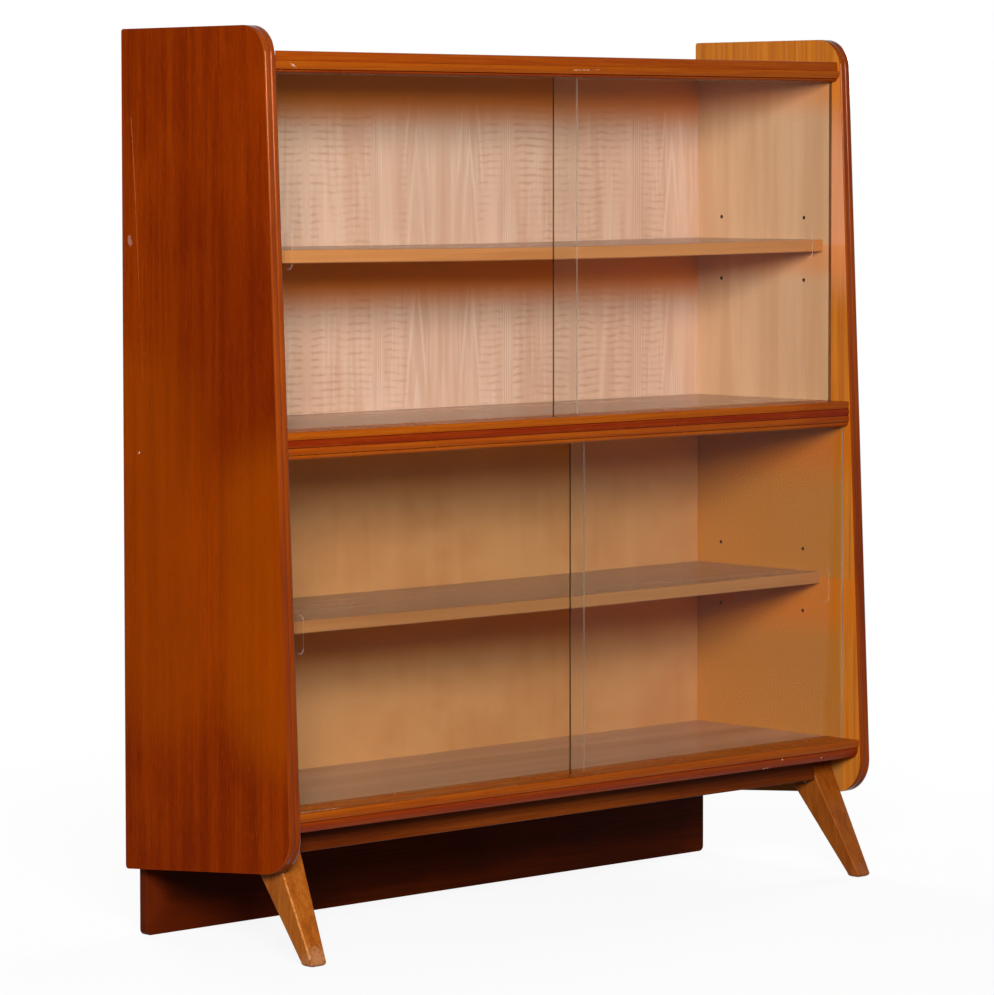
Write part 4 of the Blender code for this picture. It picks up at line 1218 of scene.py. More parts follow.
class RodForm(FormGraph):
    """Pins and fluted dowels: rods with drawn-in ends, one per point."""

    flutes = 10
    stations = 41

    def __init__(self) -> None:
        """Build the tree with Radius, Flute, Length, Ease, Draw and Turn."""
        super().__init__("eased_rods")
        radius, flute, length, ease, draw = self.sizes("Radius", "Flute", "Length", "Ease", "Draw")
        turn = self.size("Turn", "NodeSocketVector")
        half = self.times(length, 0.5)
        line = self.add("GeometryNodeCurvePrimitiveLine", {
            "Start": self.vector(z=self.times(half, -1.0)),
            "End": self.vector(z=half),
        }).outputs[0]
        line = self.add("GeometryNodeResampleCurve",
                        {"Curve": line, "Count": self.stations}).outputs[0]
        run = self.add("GeometryNodeSplineParameter").outputs["Length"]
        near = self.math("MINIMUM", run, self.math("SUBTRACT", length, run))
        share = self.math("DIVIDE", near, ease, clamp=True)
        left = self.math("SUBTRACT", 1.0, share)
        round_end = self.math("SQRT", self.math("SUBTRACT", 1.0, self.times(left, left)))
        drawn = self.times(self.math("SUBTRACT", 1.0, round_end), draw)
        scale = self.math("SUBTRACT", 1.0, drawn)
        ring = self.add("GeometryNodeCurveStar", {
            "Points": self.flutes, "Inner Radius": self.math("SUBTRACT", radius, flute),
            "Outer Radius": radius,
        }).outputs["Curve"]
        rod = self.add("GeometryNodeCurveToMesh", {
            "Curve": line, "Profile Curve": ring, "Scale": scale, "Fill Caps": True,
        }).outputs[0]
        self.close(self.on_points(rod, turn))


class ScrewForm(FormGraph):
    """Slotted countersunk wood screws, one per point, head face at the point."""

    facets = 14
    head_facets = 28
    core_share = 0.80
    tip_share = 3.0
    point_share = 0.08
    plain_share = 0.34
    blade_share = 0.2
    turn_steps = 12
    slot_reach = 3.0

    def __init__(self) -> None:
        """Build the tree with the sizes of head, slot, shank and thread."""
        super().__init__("slotted_screws")
        head, shank, height, length = self.sizes("Head Radius", "Shank Radius", "Head Height",
                                                 "Length")
        slot_width, slot_depth, pitch = self.sizes("Slot Width", "Slot Depth", "Thread Pitch")
        turn = self.size("Turn", "NodeSocketVector")
        cap = self.cone(self.head_facets, head, shank, height)
        slot = self.add("GeometryNodeMeshCube", {
            "Size": self.vector(self.times(head, self.slot_reach), slot_width,
                                self.times(slot_depth, 2.0)),
        }).outputs["Mesh"]
        cap = self.add("GeometryNodeMeshBoolean", {0: cap, 1: slot},
                       operation="DIFFERENCE").outputs["Mesh"]
        tip = self.times(shank, self.tip_share)
        body = self.math("SUBTRACT", self.math("SUBTRACT", length, height), tip)
        core = self.times(shank, self.core_share)
        rod = self.moved(self.cone(self.facets, core, core, body), self.vector(z=height))
        point = self.cone(self.facets, core, self.times(core, self.point_share), tip)
        point = self.moved(point, self.vector(z=self.math("ADD", height, body)))
        thread_length = self.times(body, 1.0 - self.plain_share)
        spiral = self.add("GeometryNodeCurveSpiral", {
            "Resolution": self.turn_steps,
            "Rotations": self.math("DIVIDE", thread_length, pitch),
            "Start Radius": core, "End Radius": core, "Height": thread_length,
        }).outputs[0]
        blade = self.add("GeometryNodeCurvePrimitiveCircle", {
            "Resolution": 4, "Radius": self.times(shank, self.blade_share),
        }).outputs[0]
        thread = self.add("GeometryNodeCurveToMesh", {
            "Curve": spiral, "Profile Curve": blade, "Fill Caps": True,
        }).outputs[0]
        start = self.math("ADD", height, self.times(body, self.plain_share))
        thread = self.moved(thread, self.vector(z=start))
        self.close(self.on_points(self.join(cap, rod, point, thread), turn))


class SweepForm(FormGraph):
    """A flat section pushed along X into a closed moulding."""

    weld = 0.00001

    def __init__(self) -> None:
        """Build the tree with the Length of the moulding."""
        super().__init__("moulding_sweep")
        pushed = self.add("GeometryNodeExtrudeMesh", {
            "Mesh": self.base, "Offset": self.vector(1.0), "Offset Scale": self.size("Length"),
            "Individual": False,
        }).outputs["Mesh"]
        closed = self.join(pushed,
                           self.add("GeometryNodeFlipFaces", {"Mesh": self.base}).outputs[0])
        merged = self.add("GeometryNodeMergeByDistance",
                          {"Geometry": closed, "Distance": self.weld}).outputs[0]
        self.close(merged)


@dataclass
class SideBoards:
    """Raked side boards with a double bead round their front edge."""

    finishes: Finishes
    top_depth: float = 0.2990
    bottom_depth: float = 0.3483
    rear_foot: float = 0.0938
    front_foot: float = 0.1240
    top_radius: float = 0.044
    bottom_radius: float = 0.052
    top_rear_radius: float = 0.004
    bottom_rear_radius: float = 0.005
    bead_depth: float = 0.0030
    bead_fullness: float = 0.92
    bead_steps: int = 10
    arc_steps: int = 20
    hole_shade_depth: float = 0.0100
    hole_shade_pitch: float = 0.0469
    rebate_depth: float = 0.0048
    rebate_width: float = 0.0080
    edge: float = 0.0006
    sharp: float = 50.0

    def fillet(self, before: Point2, corner: Point2, after: Point2, radius: float,
               steps: int) -> list[tuple[Point2, Point2]]:
        """Round one corner of the outline.

        Args:
            before: Corner before it.
            corner: The corner.
            after: Corner after it.
            radius: Radius of the rounding.
            steps: Steps along the arc.

        Returns:
            Each point with its inward direction.
        """
        back = (Vector(before) - Vector(corner)).normalized()
        ahead = (Vector(after) - Vector(corner)).normalized()
        half = back.angle(ahead) / 2.0
        centre = Vector(corner) + (back + ahead).normalized() * (radius / math.sin(half))
        first = Vector(corner) + back * (radius / math.tan(half)) - centre
        start = math.atan2(first.y, first.x)
        points = []
        for index in range(steps + 1):
            angle = start + (math.pi - 2.0 * half) * index / steps
            outward = Vector((math.cos(angle), math.sin(angle)))
            points.append((tuple(centre + outward * radius), tuple(-outward)))
        return points

    def outline(self, top: float) -> list[tuple[Point2, Point2, float]]:
        """Return the board's outline in (depth, Z) with the weight of its bead."""
        corners = (
            (0.0, self.rear_foot),
            (self.bottom_depth, self.front_foot),
            (self.top_depth, top),
            (0.0, top),
        )
        radii = (self.bottom_rear_radius, self.bottom_radius, self.top_radius, self.top_rear_radius)
        steps = (4, self.arc_steps, self.arc_steps, 4)
        outline = []
        for index, corner in enumerate(corners):
            before = corners[index - 1]
            after = corners[(index + 1) % len(corners)]
            for number, (place, inward) in enumerate(
                    self.fillet(before, corner, after, radii[index], steps[index])):
                turn = number / steps[index] * QUARTER
                weight = (0.0, math.sin(turn), math.cos(turn), 0.0)[index]
                outline.append((place, inward, weight))
        return outline

    def stations(self, thickness: float) -> list[Point2]:
        """Return places across the thickness with the inset of the beaded edge."""
        full = 1.0 - math.sqrt(1.0 - self.bead_fullness ** 2)
        places = []
        for bead in range(2):
            for step in range(self.bead_steps + 1):
                if bead > 0 and step == 0:
                    continue
                share = -math.cos(math.pi * step / self.bead_steps)
                across = (bead + (share + 1.0) / 2.0) * thickness / 2.0 - thickness / 2.0
                fall = 1.0 - math.sqrt(1.0 - (share * self.bead_fullness) ** 2)
                places.append((across, self.bead_depth * fall / full))
        return places

    def board(self, side: Side) -> bpy.types.Object:
        """Return one board before its holes are drilled."""
        box = Box.of(f"side_{side.word}")
        outline = self.outline(box.high.z)
        rings = []
        for across, inset in self.stations(box.high.x - box.low.x):
            ring = []
            for place, inward, weight in outline:
                depth = place[0] + inward[0] * inset * weight
                level = place[1] + inward[1] * inset * weight
                ring.append((box.middle.x + across, REAR - depth, level))
            rings.append(ring)
        builder = loft(rings)
        for face in builder.faces:
            face.material_index = 2
        builder.faces.ensure_lookup_table()
        builder.faces[0].material_index = 0 if side is Side.LEFT else 1
        builder.faces[1].material_index = 1 if side is Side.LEFT else 0
        looks = (self.finishes.side, self.finishes.inner, self.finishes.bead)
        return mesh_object(f"dressed_side_{side.word}", builder, looks)

    def drills(self, side: Side) -> list[bpy.types.Object]:
        """Return the cutters of the pin holes and of the rebate for the back."""
        box = Box.of(f"side_{side.word}")
        inner = box.inner(side)
        places = []
        for level in (UPPER_PINS, LOWER_PINS):
            for row in (-1, 0, 1):
                for depth in PIN_COLUMNS:
                    places.append((inner, REAR - depth, level + row * self.hole_shade_pitch))
        holes = BoreForm().grow(points_object("pin_hole_cutter", places), self.finishes.hole_shade, {
            "Radius": PIN_RADIUS, "Depth": self.hole_shade_depth, "Overrun": OVERRUN,
            "Turn": side.outwards.value,
        })
        back = Box.of("back_panel")
        near = inner - side.value * OVERRUN
        far = inner + side.value * self.rebate_width
        points = rectangle((near, REAR + OVERRUN), (far, REAR - self.rebate_depth))
        rebate = prism(points, 2, back.low.z - CLEARANCE, back.high.z + CLEARANCE)
        return [holes, mesh_object("rebate_cutter", rebate, (self.finishes.inner,))]

    def build(self) -> None:
        """Make both boards."""
        for side in Side:
            piece = self.board(side)
            carve(piece, self.drills(side))
            ease_edges(piece, self.edge, 2, self.sharp)
            hand_over(piece, "carcass", [f"side_{side.word}"])


@dataclass(frozen=True)
class Band:
    """One reed of a moulding: shares of its height and relief, and its tone, which paints the
    highlight or shade that the reed shows.
    """

    start: float
    end: float
    start_set: float
    end_set: float
    crown: float
    tone: float


@dataclass(frozen=True)
class MouldingPlan:
    """Sizes of one moulding and the glass that runs in it."""

    node: str
    relief: float
    bands: tuple[Band, ...]
    glass_above: float | None
    glass_below: float | None


@dataclass
class Mouldings:
    """Reeded front mouldings, each swept along its board by a node tree."""

    finishes: Finishes
    ease: float = 0.0010
    groove: float = 0.0011
    band_steps: int = 10
    pane: float = 0.0040
    play: float = 0.0005
    pitch: float = 0.0085
    low_track: float = 0.0040
    high_track: float = 0.0100
    # groove share and reed tone of the track points; the full groove share deep in the slots is
    # painted shade
    lip: Point2 = (0.6, 0.3)
    trough: Point2 = (1.0, 0.3)
    rim: Point2 = (0.2, 0.7)
    back_low: Point2 = (0.0, 0.4)
    back_top: Point2 = (0.0, 0.7)
    plans: tuple[MouldingPlan, ...] = (
        MouldingPlan("top_moulding", 0.0110, (
            Band(0.00, 0.44, 0.57, 0.39, 0.05, 0.55),
            Band(0.455, 0.815, 0.04, 0.31, 0.09, 0.75),
            Band(0.865, 1.00, 0.55, 1.00, 0.14, 0.35),
        ), None, UPPER_GLASS),
        MouldingPlan("middle_moulding", 0.0050, (
            Band(0.00, 0.275, 0.02, 0.16, 0.10, 0.85),
            Band(0.305, 0.555, 0.14, 0.14, 0.20, 0.15),
            Band(0.585, 0.815, 0.10, 0.14, 0.28, 0.60),
            Band(0.85, 1.00, 0.30, 0.96, 0.24, 0.80),
        ), UPPER_GLASS, LOWER_GLASS),
        MouldingPlan("bottom_moulding", 0.0082, (
            Band(0.00, 0.45, 0.02, 0.34, 0.09, 0.70),
            Band(0.51, 1.00, 0.36, 0.98, 0.14, 0.24),
        ), LOWER_GLASS, None),
    )

    def front(self, plan: MouldingPlan, depth: float, top: float,
              height: float) -> list[Point4]:
        """Return the reeded front from its top edge to its underside.

        Args:
            plan: Bands of the moulding.
            depth: Depth of its foremost face.
            top: Level of its top.
            height: Its height.

        Returns:
            Points of (depth, Z, groove share, band tone).
        """
        points: list[Point4] = []
        last: Point2 | None = None
        for band in plan.bands:
            start = (depth - plan.relief * band.start_set, top - height * band.start)
            end = (depth - plan.relief * band.end_set, top - height * band.end)
            if last is None:
                corner = arc((start[0] - self.ease, start[1] - self.ease), self.ease, QUARTER, 0.0,
                             3)
                points.extend((place[0], place[1], 0.0, band.tone) for place in corner)
                start = (start[0], start[1] - self.ease)
            else:
                floor = min(last[0], start[0]) - self.groove
                points.append((floor, (last[1] + start[1]) / 2.0, 1.0, band.tone))
            for index in range(self.band_steps + 1):
                share = index / self.band_steps
                swell = plan.relief * band.crown * 4.0 * share * (1.0 - share)
                place = start[0] + (end[0] - start[0]) * share + swell
                points.append((place, start[1] + (end[1] - start[1]) * share, 0.0, band.tone))
            last = end
        return points

    def slots(self, glass: float) -> list[Point2]:
        """Return the near and far limits of the two track grooves."""
        faces = (glass, glass - self.pitch)
        return [(face + self.play, face - self.pane - self.play) for face in faces]

    def track(self, first: float, last: float, mouth: float, end: float,
              edge: Point2) -> list[Point4]:
        """Return one track groove.

        Args:
            first: Depth of the wall that comes first.
            last: Depth of the other wall.
            mouth: Level of its mouth.
            end: Level of its closed end.
            edge: Groove share and band tone at the mouth.

        Returns:
            Points of (depth, Z, groove share, band tone).
        """
        return [(first, mouth, *edge), (first, end, *self.trough), (last, end, *self.trough),
                (last, mouth, *edge)]

    def section(self, plan: MouldingPlan, box: Box) -> list[Point4]:
        """Return the closed section as points of (Y, Z, groove share, band tone)."""
        top = box.high.z
        low = box.low.z
        points = self.front(plan, REAR - box.low.y, top, top - low)
        if plan.glass_below is not None:
            for near, far in self.slots(plan.glass_below):
                points.extend(self.track(near, far, low, low + self.high_track, self.lip))
        rear = REAR - box.high.y
        points.extend(((rear, low, *self.back_low), (rear, top, *self.back_top)))
        if plan.glass_above is not None:
            for near, far in reversed(self.slots(plan.glass_above)):
                points.extend(self.track(far, near, top, top - self.low_track, self.rim))
        return [(REAR - depth, level, groove, tone) for depth, level, groove, tone in points]

    def build(self) -> None:
        """Sweep the three mouldings."""
        form = SweepForm()
        for plan in self.plans:
            box = Box.of(plan.node)
            builder = bmesh.new()
            # per-point painted groove shade and painted reed highlight or shade
            groove_shade_layer = builder.verts.layers.float.new("groove")
            reed_light_layer = builder.verts.layers.float.new("band")
            ring = []
            for y_value, level, groove, tone in self.section(plan, box):
                corner = builder.verts.new((box.low.x, y_value, level))
                corner[groove_shade_layer] = groove
                corner[reed_light_layer] = tone
                ring.append(corner)
            builder.faces.new(ring)
            section = mesh_object(f"dressed_{plan.node}", builder, ())
            if section.data.polygons[0].normal.x < 0.0:
                section.data.flip_normals()
            piece = form.grow(section, self.finishes.moulding, {"Length": box.high.x - box.low.x})
            hand_over(piece, "carcass", [plan.node])


@dataclass
class Boards:
    """Fixed boards and the back panel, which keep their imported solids."""

    finishes: Finishes

    def build(self) -> None:
        """Dress the boards and the back."""
        for name in ("top", "middle", "bottom"):
            dress(name + "_board", self.finishes.board)
        dress("back_panel", self.finishes.back)


@dataclass(frozen=True)
class ShelfPlan:
    """One loose shelf, how far it hangs through and the level of its pins."""

    node: str
    sag: float
    pin_level: float


@dataclass
class Shelves:
    """Loose shelves with rounded front edges, a little sagged between their pins."""

    finishes: Finishes
    edge_radius: float = 0.0020
    edge_steps: int = 5
    span_steps: int = 24
    notch_length: float = 0.0103
    notch_drop: float = 0.0084
    arch_steps: int = 12
    edge: float = 0.0004
    sag_bend: float = 1.5
    plans: tuple[ShelfPlan, ...] = (
        ShelfPlan("shelf_upper", 0.0030, UPPER_PINS),
        ShelfPlan("shelf_lower", 0.0018, LOWER_PINS),
    )

    def notch(self, side: Side, depth: float, level: float) -> bpy.types.Object:
        """Return the cutter of one round-topped notch over a pin."""
        middle = REAR - depth
        low = level - self.notch_drop
        arch = arc((middle, level), PIN_RADIUS, 0.0, math.pi, self.arch_steps)
        points = [(middle + PIN_RADIUS, low), *arch, (middle - PIN_RADIUS, low)]
        inner = side.value * Box.of("side_right").low.x
        solid = prism(points, 0, inner - side.value * self.notch_length,
                      inner + side.value * OVERRUN)
        return mesh_object("pin_notch_cutter", solid, ())

    def build(self) -> None:
        """Make both shelves."""
        for plan in self.plans:
            box = Box.of(plan.node)
            radius, steps = self.edge_radius, self.edge_steps
            near = box.low.y + radius
            lower = arc((near, box.low.z + radius), radius, 3 * QUARTER, 2 * QUARTER, steps)
            upper = arc((near, box.high.z - radius), radius, 2 * QUARTER, QUARTER, steps)
            points = [(box.high.y, box.low.z), *lower, *upper, (box.high.y, box.high.z)]
            rings = []
            for step in range(self.span_steps + 1):
                share = step / self.span_steps
                drop = plan.sag * math.sin(math.pi * share) ** self.sag_bend
                x_value = box.low.x + (box.high.x - box.low.x) * share
                rings.append([(x_value, y_value, level - drop) for y_value, level in points])
            # top faces take the painted-sheen copy of the shelf wood
            looks = (self.finishes.lower_shelf, self.finishes.lower_shelf_top)
            if plan.node == "shelf_upper":
                looks = (self.finishes.shelf, self.finishes.shelf_top)
            piece = mesh_object(f"dressed_{plan.node}", loft(rings), looks)
            for face in piece.data.polygons:
                face.material_index = 1 if face.normal.z > FACING else 0
            carve(piece, [self.notch(side, depth, plan.pin_level)
                          for side in Side for depth in PIN_COLUMNS])
            ease_edges(piece, self.edge)
            hand_over(piece, "carcass", [plan.node])


@dataclass
class Legs:
    """Tapered front legs that splay forwards, with worn round feet."""

    finishes: Finishes
    top_front: float = 0.2772
    top_size: float = 0.0666
    foot_size: float = 0.0232
    top_thickness: float = 0.0475
    foot_thickness: float = 0.0270
    edge_radius: float = 0.0030
    edge_steps: int = 5
    foot_round: float = 0.0050
    foot_steps: int = 6
    bore_radius: float = 0.0048
    bore_depth: float = 0.0040
    bore_overrun: float = 0.0100
    sharp: float = 50.0

    def section(self, level: float, top: float, foot_front: float) -> Point3:
        """Return front depth, size and thickness of a leg at one height."""
        share = max(0.0, (level - self.foot_round) / (top - self.foot_round))
        front = foot_front + (self.top_front - foot_front) * share
        size = self.foot_size + (self.top_size - self.foot_size) * share
        return front, size, self.foot_thickness + (self.top_thickness - self.foot_thickness) * share

    def ring(self, side: Side, box: Box, level: float, inset: float) -> list[Point3]:
        """Return the rounded rectangle of one leg at one height."""
        outer = box.outer(side)
        front, size, thickness = self.section(level, box.high.z, REAR - box.low.y)
        near = front - inset
        far = front - size + inset
        radius = self.edge_radius
        ring = []
        for turn, x_value, depth, x_way, depth_way in (
            (0, thickness - inset, near, -1, -1),
            (1, inset, near, 1, -1),
            (2, inset, far, 1, 1),
            (3, thickness - inset, far, -1, 1),
        ):
            centre = (x_value + x_way * radius, depth + depth_way * radius)
            start, end = turn * QUARTER, (turn + 1) * QUARTER
            for across, place in arc(centre, radius, start, end, self.edge_steps):
                ring.append((outer - side.value * across, REAR - place, level))
        return ring

    def bores(self, side: Side) -> bpy.types.Object:
        """Return the cutter of the sunk screw heads of one leg."""
        places = []
        for number in ("1", "2"):
            screw = Box.of(f"leg_screw_{side.word}_{number}")
            places.append((screw.inner(side), screw.middle.y, screw.middle.z))
        return BoreForm().grow(points_object("leg_bore_cutter", places), self.finishes.leg, {
            "Radius": self.bore_radius, "Depth": self.bore_depth, "Overrun": self.bore_overrun,
            "Turn": side.outwards.value,
        })

    def build(self) -> None:
        """Make both legs."""
        for side in Side:
            box = Box.of(f"leg_{side.word}")
            levels = []
            for step in range(self.foot_steps):
                angle = QUARTER * step / self.foot_steps
                levels.append((self.foot_round * (1.0 - math.cos(angle)),
                               self.foot_round * (1.0 - math.sin(angle))))
            levels.append((self.foot_round, 0.0))
            levels.append((box.high.z, 0.0))
            rings = [self.ring(side, box, level, inset) for level, inset in levels]
            piece = mesh_object(f"dressed_leg_{side.word}", loft(rings), (self.finishes.leg,))
            carve(piece, [self.bores(side)])
            shade(piece, self.sharp)
            even_flats(piece)
            hand_over(piece, "carcass", [f"leg_{side.word}"])


@dataclass
class Base:
    """Front apron between the legs and the rear plinth board."""

    finishes: Finishes
    plinth_radius: float = 0.0080
    plinth_steps: int = 8
    apron_top_reach: float = 0.5069
    edge: float = 0.0012

    def rail(self, name: str, node: str, points: Sequence[Point2], look: bpy.types.Material,
             slot: str) -> None:
        """Make one upright board.

        Args:
            name: Name of the new piece.
            node: Packed board that it stands for.
            points: Its outline in X and Z.
            look: Its material.
            slot: Material slot of the record; not used.
        """
        box = Box.of(node)
        piece = mesh_object(name, prism(points, 1, box.low.y, box.high.y), (look,))
        ease_edges(piece, self.edge)
        hand_over(piece, "carcass", [node])

    def build(self) -> None:
        """Make both boards."""
        box = Box.of("rear_plinth")
        radius = self.plinth_radius
        left = arc((box.low.x + radius, radius), radius, 2 * QUARTER, 3 * QUARTER,
                   self.plinth_steps)
        right = arc((box.high.x - radius, radius), radius, 3 * QUARTER, 4 * QUARTER,
                    self.plinth_steps)
        points = left + right + [(box.high.x, box.high.z), (box.low.x, box.high.z)]
        self.rail("dressed_plinth", "rear_plinth", points, self.finishes.plinth, "dark_plinth")
        box = Box.of("front_apron")
        reach = self.apron_top_reach
        points = [(box.low.x, box.low.z), (box.high.x, box.low.z), (reach, box.high.z),
                  (-reach, box.high.z)]
        self.rail("dressed_apron", "front_apron", points, self.finishes.apron, "apron_wood")


@dataclass
class Fasteners:
    """Screws, shelf pins and dowels, grown on their points by node trees."""

    finishes: Finishes
    back_head: float = 0.0032
    back_shank: float = 0.0015
    back_height: float = 0.0018
    leg_head: float = 0.0045
    leg_shank: float = 0.00225
    leg_height: float = 0.0026
    slot_share: float = 0.28
    slot_sink: float = 0.45
    thread_share: float = 0.9
    pin: dict[str,
              float] = field(default_factory=lambda: {"Flute": 0.0, "Ease": 0.0014, "Draw": 0.55})
    dowel: dict[str, float] = field(default_factory=lambda: {"Flute": 0.0004, "Ease": 0.0016,
                                                             "Draw": 0.28})

    def screws(self, name: str, nodes: Sequence[str], turn: Turn, head: float, shank: float,
               height: float) -> None:
        """Set screws of one length in the places of their nodes.

        Args:
            name: Name of the new piece.
            nodes: Packed screws.
            turn: Way in which they are driven.
            head: Radius of the head.
            shank: Radius of the shank.
            height: Height of the countersunk head.
        """
        boxes = [Box.of(node) for node in nodes]
        first = boxes[0]
        if turn is Turn.FORWARDS:
            places = [(box.middle.x, box.high.y, box.middle.z) for box in boxes]
            length = first.high.y - first.low.y
        else:
            heads = [box.high.x if turn is Turn.TO_THE_LEFT else box.low.x for box in boxes]
            places = [(x_value, box.middle.y, box.middle.z) for x_value, box in zip(heads, boxes)]
            length = first.high.x - first.low.x
        piece = ScrewForm().grow(points_object(name, places), self.finishes.steel, {
            "Head Radius": head, "Shank Radius": shank, "Head Height": height, "Length": length,
            "Slot Width": head * self.slot_share, "Slot Depth": height * self.slot_sink,
            "Thread Pitch": shank * self.thread_share, "Turn": turn.value,
        })
        hand_over(piece, "carcass", nodes)

    def rods(self, name: str, nodes: Sequence[str], turn: Turn, shape: dict[str, float],
             look: bpy.types.Material) -> None:
        """Set pins or dowels of one size in the places of their nodes.

        Args:
            name: Name of the new piece.
            nodes: Packed rods.
            turn: Way in which they lie.
            shape: Depth of the flutes, length of the drawn-in ends and share of the
                radius lost there.
            look: Their material.
        """
        boxes = [Box.of(node) for node in nodes]
        size = boxes[0].high - boxes[0].low
        piece = RodForm().grow(points_object(name, [tuple(box.middle) for box in boxes]), look, {
            "Radius": min(size) / 2.0, "Length": max(size), "Turn": turn.value, **shape,
        })
        hand_over(piece, "carcass", nodes)

    def build(self) -> None:
        """Make every screw, pin and dowel."""
        rows = ("top", "middle", "bottom")
        nodes = [f"back_screw_{row}_{number}" for row in rows for number in ("1", "2", "3")]
        self.screws("back_screws", nodes, Turn.FORWARDS, self.back_head, self.back_shank,
                    self.back_height)
        for side in Side:
            for number in ("1", "2"):
                node = f"leg_screw_{side.word}_{number}"
                self.screws(f"dressed_{node}", [node], side.outwards, self.leg_head, self.leg_shank,
                            self.leg_height)
        ends = [f"{side.word}_{place}" for side in Side for place in ("rear", "front")]
        pins = [f"shelf_pin_{row}_{end}" for row in ("upper", "lower") for end in ends]
        self.rods("shelf_pins", pins, Turn.TO_THE_RIGHT, self.pin, self.finishes.brass)
        dowels = [f"dowel_{row}_{end}" for row in rows for end in ends]
        self.rods("board_dowels", dowels, Turn.TO_THE_RIGHT, self.dowel, self.finishes.dowel)
        rails = [f"dowel_{rail}_{number}" for rail in ("apron", "plinth") for number in ("1", "2")]
        self.rods("rail_dowels", rails, Turn.UP, self.dowel, self.finishes.dowel)


@dataclass(frozen=True)
class DoorPlan:
    """Level and inset of the finger pulls of one pair of panes, and whether their end faces get the
    painted highlight.
    """

    row: str
    pull_level: float
    pull_inset: float
    painted_edge_highlight: bool


@dataclass
class GlassDoors:
    """Four sliding panes with ground finger pulls."""

    finishes: Finishes
    edge: float = 0.0005
    pull_width: float = 0.0130
    pull_height: float = 0.0520
    pull_depth: float = 0.0015
    pull_steps: int = 12
    plans: tuple[DoorPlan, ...] = (
        DoorPlan("upper", 0.9488, 0.0450, False),
        DoorPlan("lower", 0.4358, 0.0380, True),
    )

    def pull(self, box: Box, side: Side, plan: DoorPlan) -> bpy.types.Object:
        """Return the cutter of one sunk finger pull."""
        centre = box.outer(side) - side.value * plan.pull_inset
        radius = self.pull_width / 2.0
        straight = self.pull_height / 2.0 - radius
        upper, lower = plan.pull_level + straight, plan.pull_level - straight
        ends = arc((centre, upper), radius, 0.0, math.pi, self.pull_steps)
        ends += arc((centre, lower), radius, math.pi, math.tau, self.pull_steps)
        solid = prism(ends, 1, box.low.y - OVERRUN, box.low.y + self.pull_depth)
        cutter = mesh_object("pull_cutter", solid, (self.finishes.ground, self.finishes.sunk))
        for face in cutter.data.polygons:
            face.material_index = 1 if abs(face.normal.y) > FACING else 0
        return cutter

    def pane(self, plan: DoorPlan, side: Side) -> bpy.types.Object:
        """Return one pane with its eased edges and its pull."""
        name = f"glass_{plan.row}_{side.word}"
        box = Box.of(name)
        points = rectangle((box.low.x, box.low.y), (box.high.x, box.high.y))
        clear = self.finishes.rear_glass if side is Side.LEFT else self.finishes.front_glass
        looks = (clear, self.finishes.painted_dark_edge, self.finishes.painted_edge_highlight)
        piece = mesh_object(f"dressed_{name}", prism(points, 2, box.low.z, box.high.z), looks)
        # painted light on the end faces: the +X ends of the lower panes and of the left panes get
        # the painted highlight, all other end faces the painted dark reflection
        pale = plan.painted_edge_highlight or side is Side.LEFT
        for face in piece.data.polygons:
            if abs(face.normal.y) < FACING:
                face.material_index = 2 if pale and face.normal.x > FACING else 1
        carve(piece, [self.pull(box, side, plan)])
        ease_edges(piece, self.edge, 1)
        return piece

    def build(self) -> None:
        """Make the four panes."""
        for plan in self.plans:
            for side in Side:
                place = f"{plan.row}_{side.word}"
                hand_over(self.pane(plan, side), f"pane_{place}", [f"glass_{place}"])


@dataclass(frozen=True)
class SoftBox:
    """Place, size and power of one soft lamp that points at the bookcase."""

    name: str
    place: Point3
    target: Point3
    size: Point2
    power: float


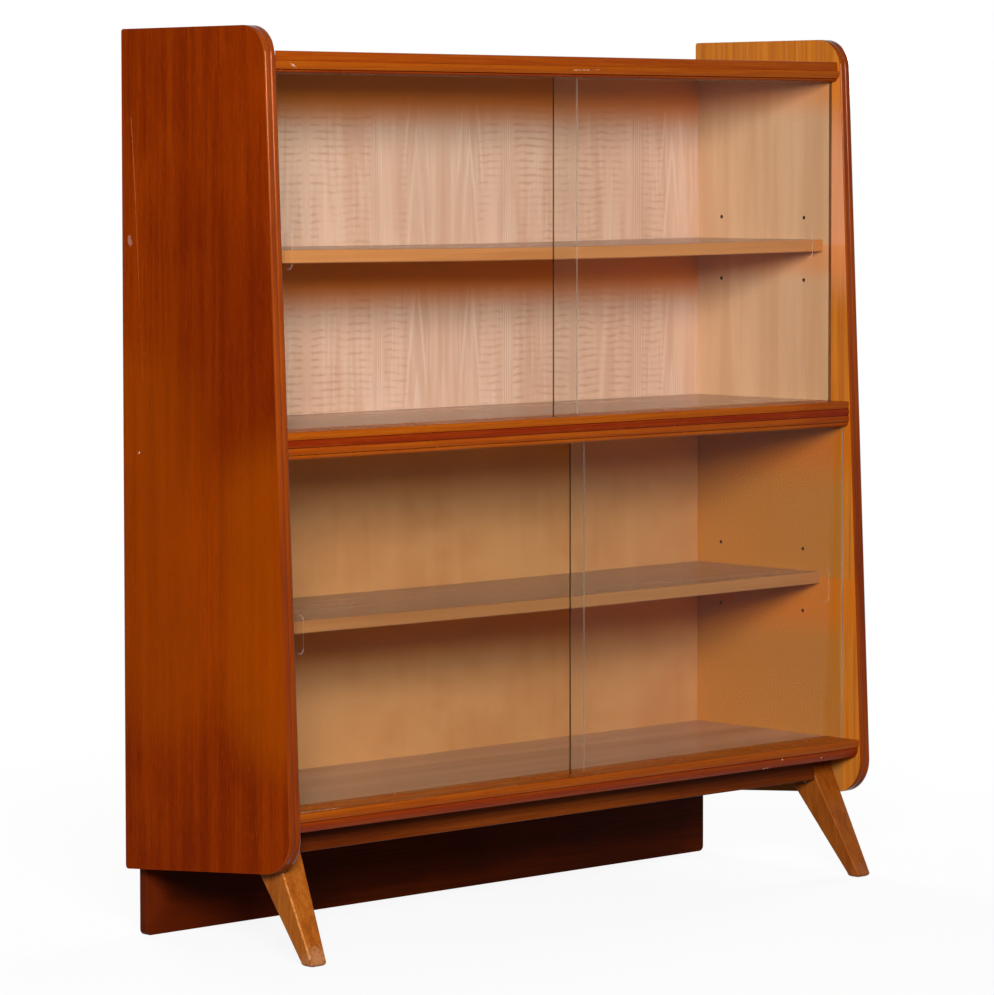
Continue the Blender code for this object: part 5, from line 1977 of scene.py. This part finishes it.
@dataclass
class Studio:
    """Pale floor, soft lamps and the camera."""

    eye: Point3 = (-4.46319, -4.63818, 1.07037)
    aim: Point3 = (0.689119, 0.722371, -0.057401)
    roll: float = -0.0512
    sensor: float = 36.0
    image_width: float = 994.0
    image_height: float = 995.0
    focal_pixels: float = 4510.7
    centre_x: float = 498.35
    centre_y: float = 417.9
    floor_size: float = 60.0
    floor_patch: float = 0.33
    bounce_low: float = 0.17
    bounce_high: float = 0.19
    seen_grey: float = 0.90
    room_light: float = 0.04
    glow_near: float = 0.90
    glow_start: float = 1.6
    glow_end: float = 3.2
    clip_end: float = 100.0
    lamps: tuple[SoftBox, ...] = (
        SoftBox("key_lamp", (-3.25, -3.65, 1.95), (0.0, 0.0, 0.65), (1.8, 1.2), 350.0),
        SoftBox("rear_lamp", (1.2, 4.6, 2.4), (0.0, 0.0, 0.6), (2.0, 1.2), 170.0),
        SoftBox("right_lamp", (4.7, 1.0, 1.9), (0.0, 0.1, 0.6), (1.8, 1.2), 150.0),
    )

    def pointed(self, data: Any, place: Point3, way: Vector, roll: float = 0.0) -> bpy.types.Object:
        """Hang a camera or a lamp in the room.

        Args:
            data: The camera or lamp.
            place: Where it hangs.
            way: Direction in which it points.
            roll: Turn about that direction, in degrees.

        Returns:
            The new object.
        """
        piece = bpy.data.objects.new(data.name, data)
        piece.location = place
        piece.rotation_mode = "QUATERNION"
        rolled = Quaternion((0.0, 0.0, 1.0), math.radians(roll))
        piece.rotation_quaternion = way.to_track_quat("-Z", "Y") @ rolled
        bpy.context.scene.collection.objects.link(piece)
        return piece

    def camera(self) -> None:
        """Place the camera at the photograph's viewing angle."""
        data = bpy.data.cameras.new("camera")
        data.sensor_fit = "HORIZONTAL"
        data.sensor_width = self.sensor
        data.lens = self.focal_pixels * self.sensor / self.image_width
        data.shift_x = -(self.centre_x - self.image_width / 2.0) / self.image_width
        data.shift_y = -(self.image_height / 2.0 - self.centre_y) / self.image_width
        data.clip_end = self.clip_end
        bpy.context.scene.camera = self.pointed(data, self.eye, Vector(self.aim), self.roll)

    def lamp(self, box: SoftBox) -> None:
        """Add one soft lamp."""
        data = bpy.data.lights.new(box.name, "AREA")
        data.shape = "RECTANGLE"
        data.size, data.size_y = box.size
        data.energy = box.power
        self.pointed(data, box.place, Vector(box.target) - Vector(box.place))

    def world(self) -> None:
        """Give the room a white background and a low even light."""
        world = bpy.data.worlds.new("room")
        world.use_nodes = True
        bpy.context.scene.world = world
        graph = NodeGraph(world.node_tree)
        graph.tree.nodes.clear()
        strength = graph.add("ShaderNodeMapRange", {
            "Value": graph.background_rays(), "To Min": self.room_light, "To Max": 1.0,
        })
        background = graph.add("ShaderNodeBackground", {
            "Color": linear(WHITE), "Strength": strength.outputs[0],
        })
        graph.add("ShaderNodeOutputWorld", {0: background.outputs[0]})

    def floor(self) -> None:
        """Lay a pale floor that keeps a faint shadow."""
        half = self.floor_size / 2.0
        builder = bmesh.new()
        corners = rectangle((-half, -half), (half, half))
        builder.faces.new([builder.verts.new((*spot, 0.0)) for spot in corners])
        graph = ShaderGraph("pale_floor")
        cloth = graph.even_noise(self.floor_patch)
        colour = graph.eased_blend(cloth, EVEN, grey(self.bounce_low),
                             grey(self.bounce_high))
        path = graph.add("ShaderNodeLightPath")
        colour = graph.blend(path.outputs["Is Camera Ray"], colour, grey(self.seen_grey))
        matt = graph.add("ShaderNodeBsdfDiffuse", {"Color": colour})
        glow = graph.add("ShaderNodeEmission", {"Color": linear(WHITE), "Strength": 1.0})
        away = graph.vector("LENGTH", graph.place, ORIGIN).outputs["Value"]
        share = graph.span(away, self.glow_start, self.glow_end, self.glow_near, 1.0)
        mixed = graph.add("ShaderNodeMixShader", {
            0: graph.times(graph.background_rays(), share), 1: matt.outputs[0], 2: glow.outputs[0],
        })
        floor = mesh_object("floor", builder, (graph.close(mixed),))

    def build(self) -> None:
        """Set the stage."""
        bpy.context.scene.view_settings.view_transform = "Standard"
        self.camera()
        self.world()
        self.floor()
        for box in self.lamps:
            self.lamp(box)


def main() -> None:
    """Build the stage and every sub-assembly."""
    logging.basicConfig(level=logging.INFO, format="%(message)s")
    Studio().build()
    finishes = Finishes()
    for part in (SideBoards, Mouldings, Boards, Shelves, Legs, Base, Fasteners, GlassDoors):
        part(finishes).build()


if __name__ == "__main__":
    main()
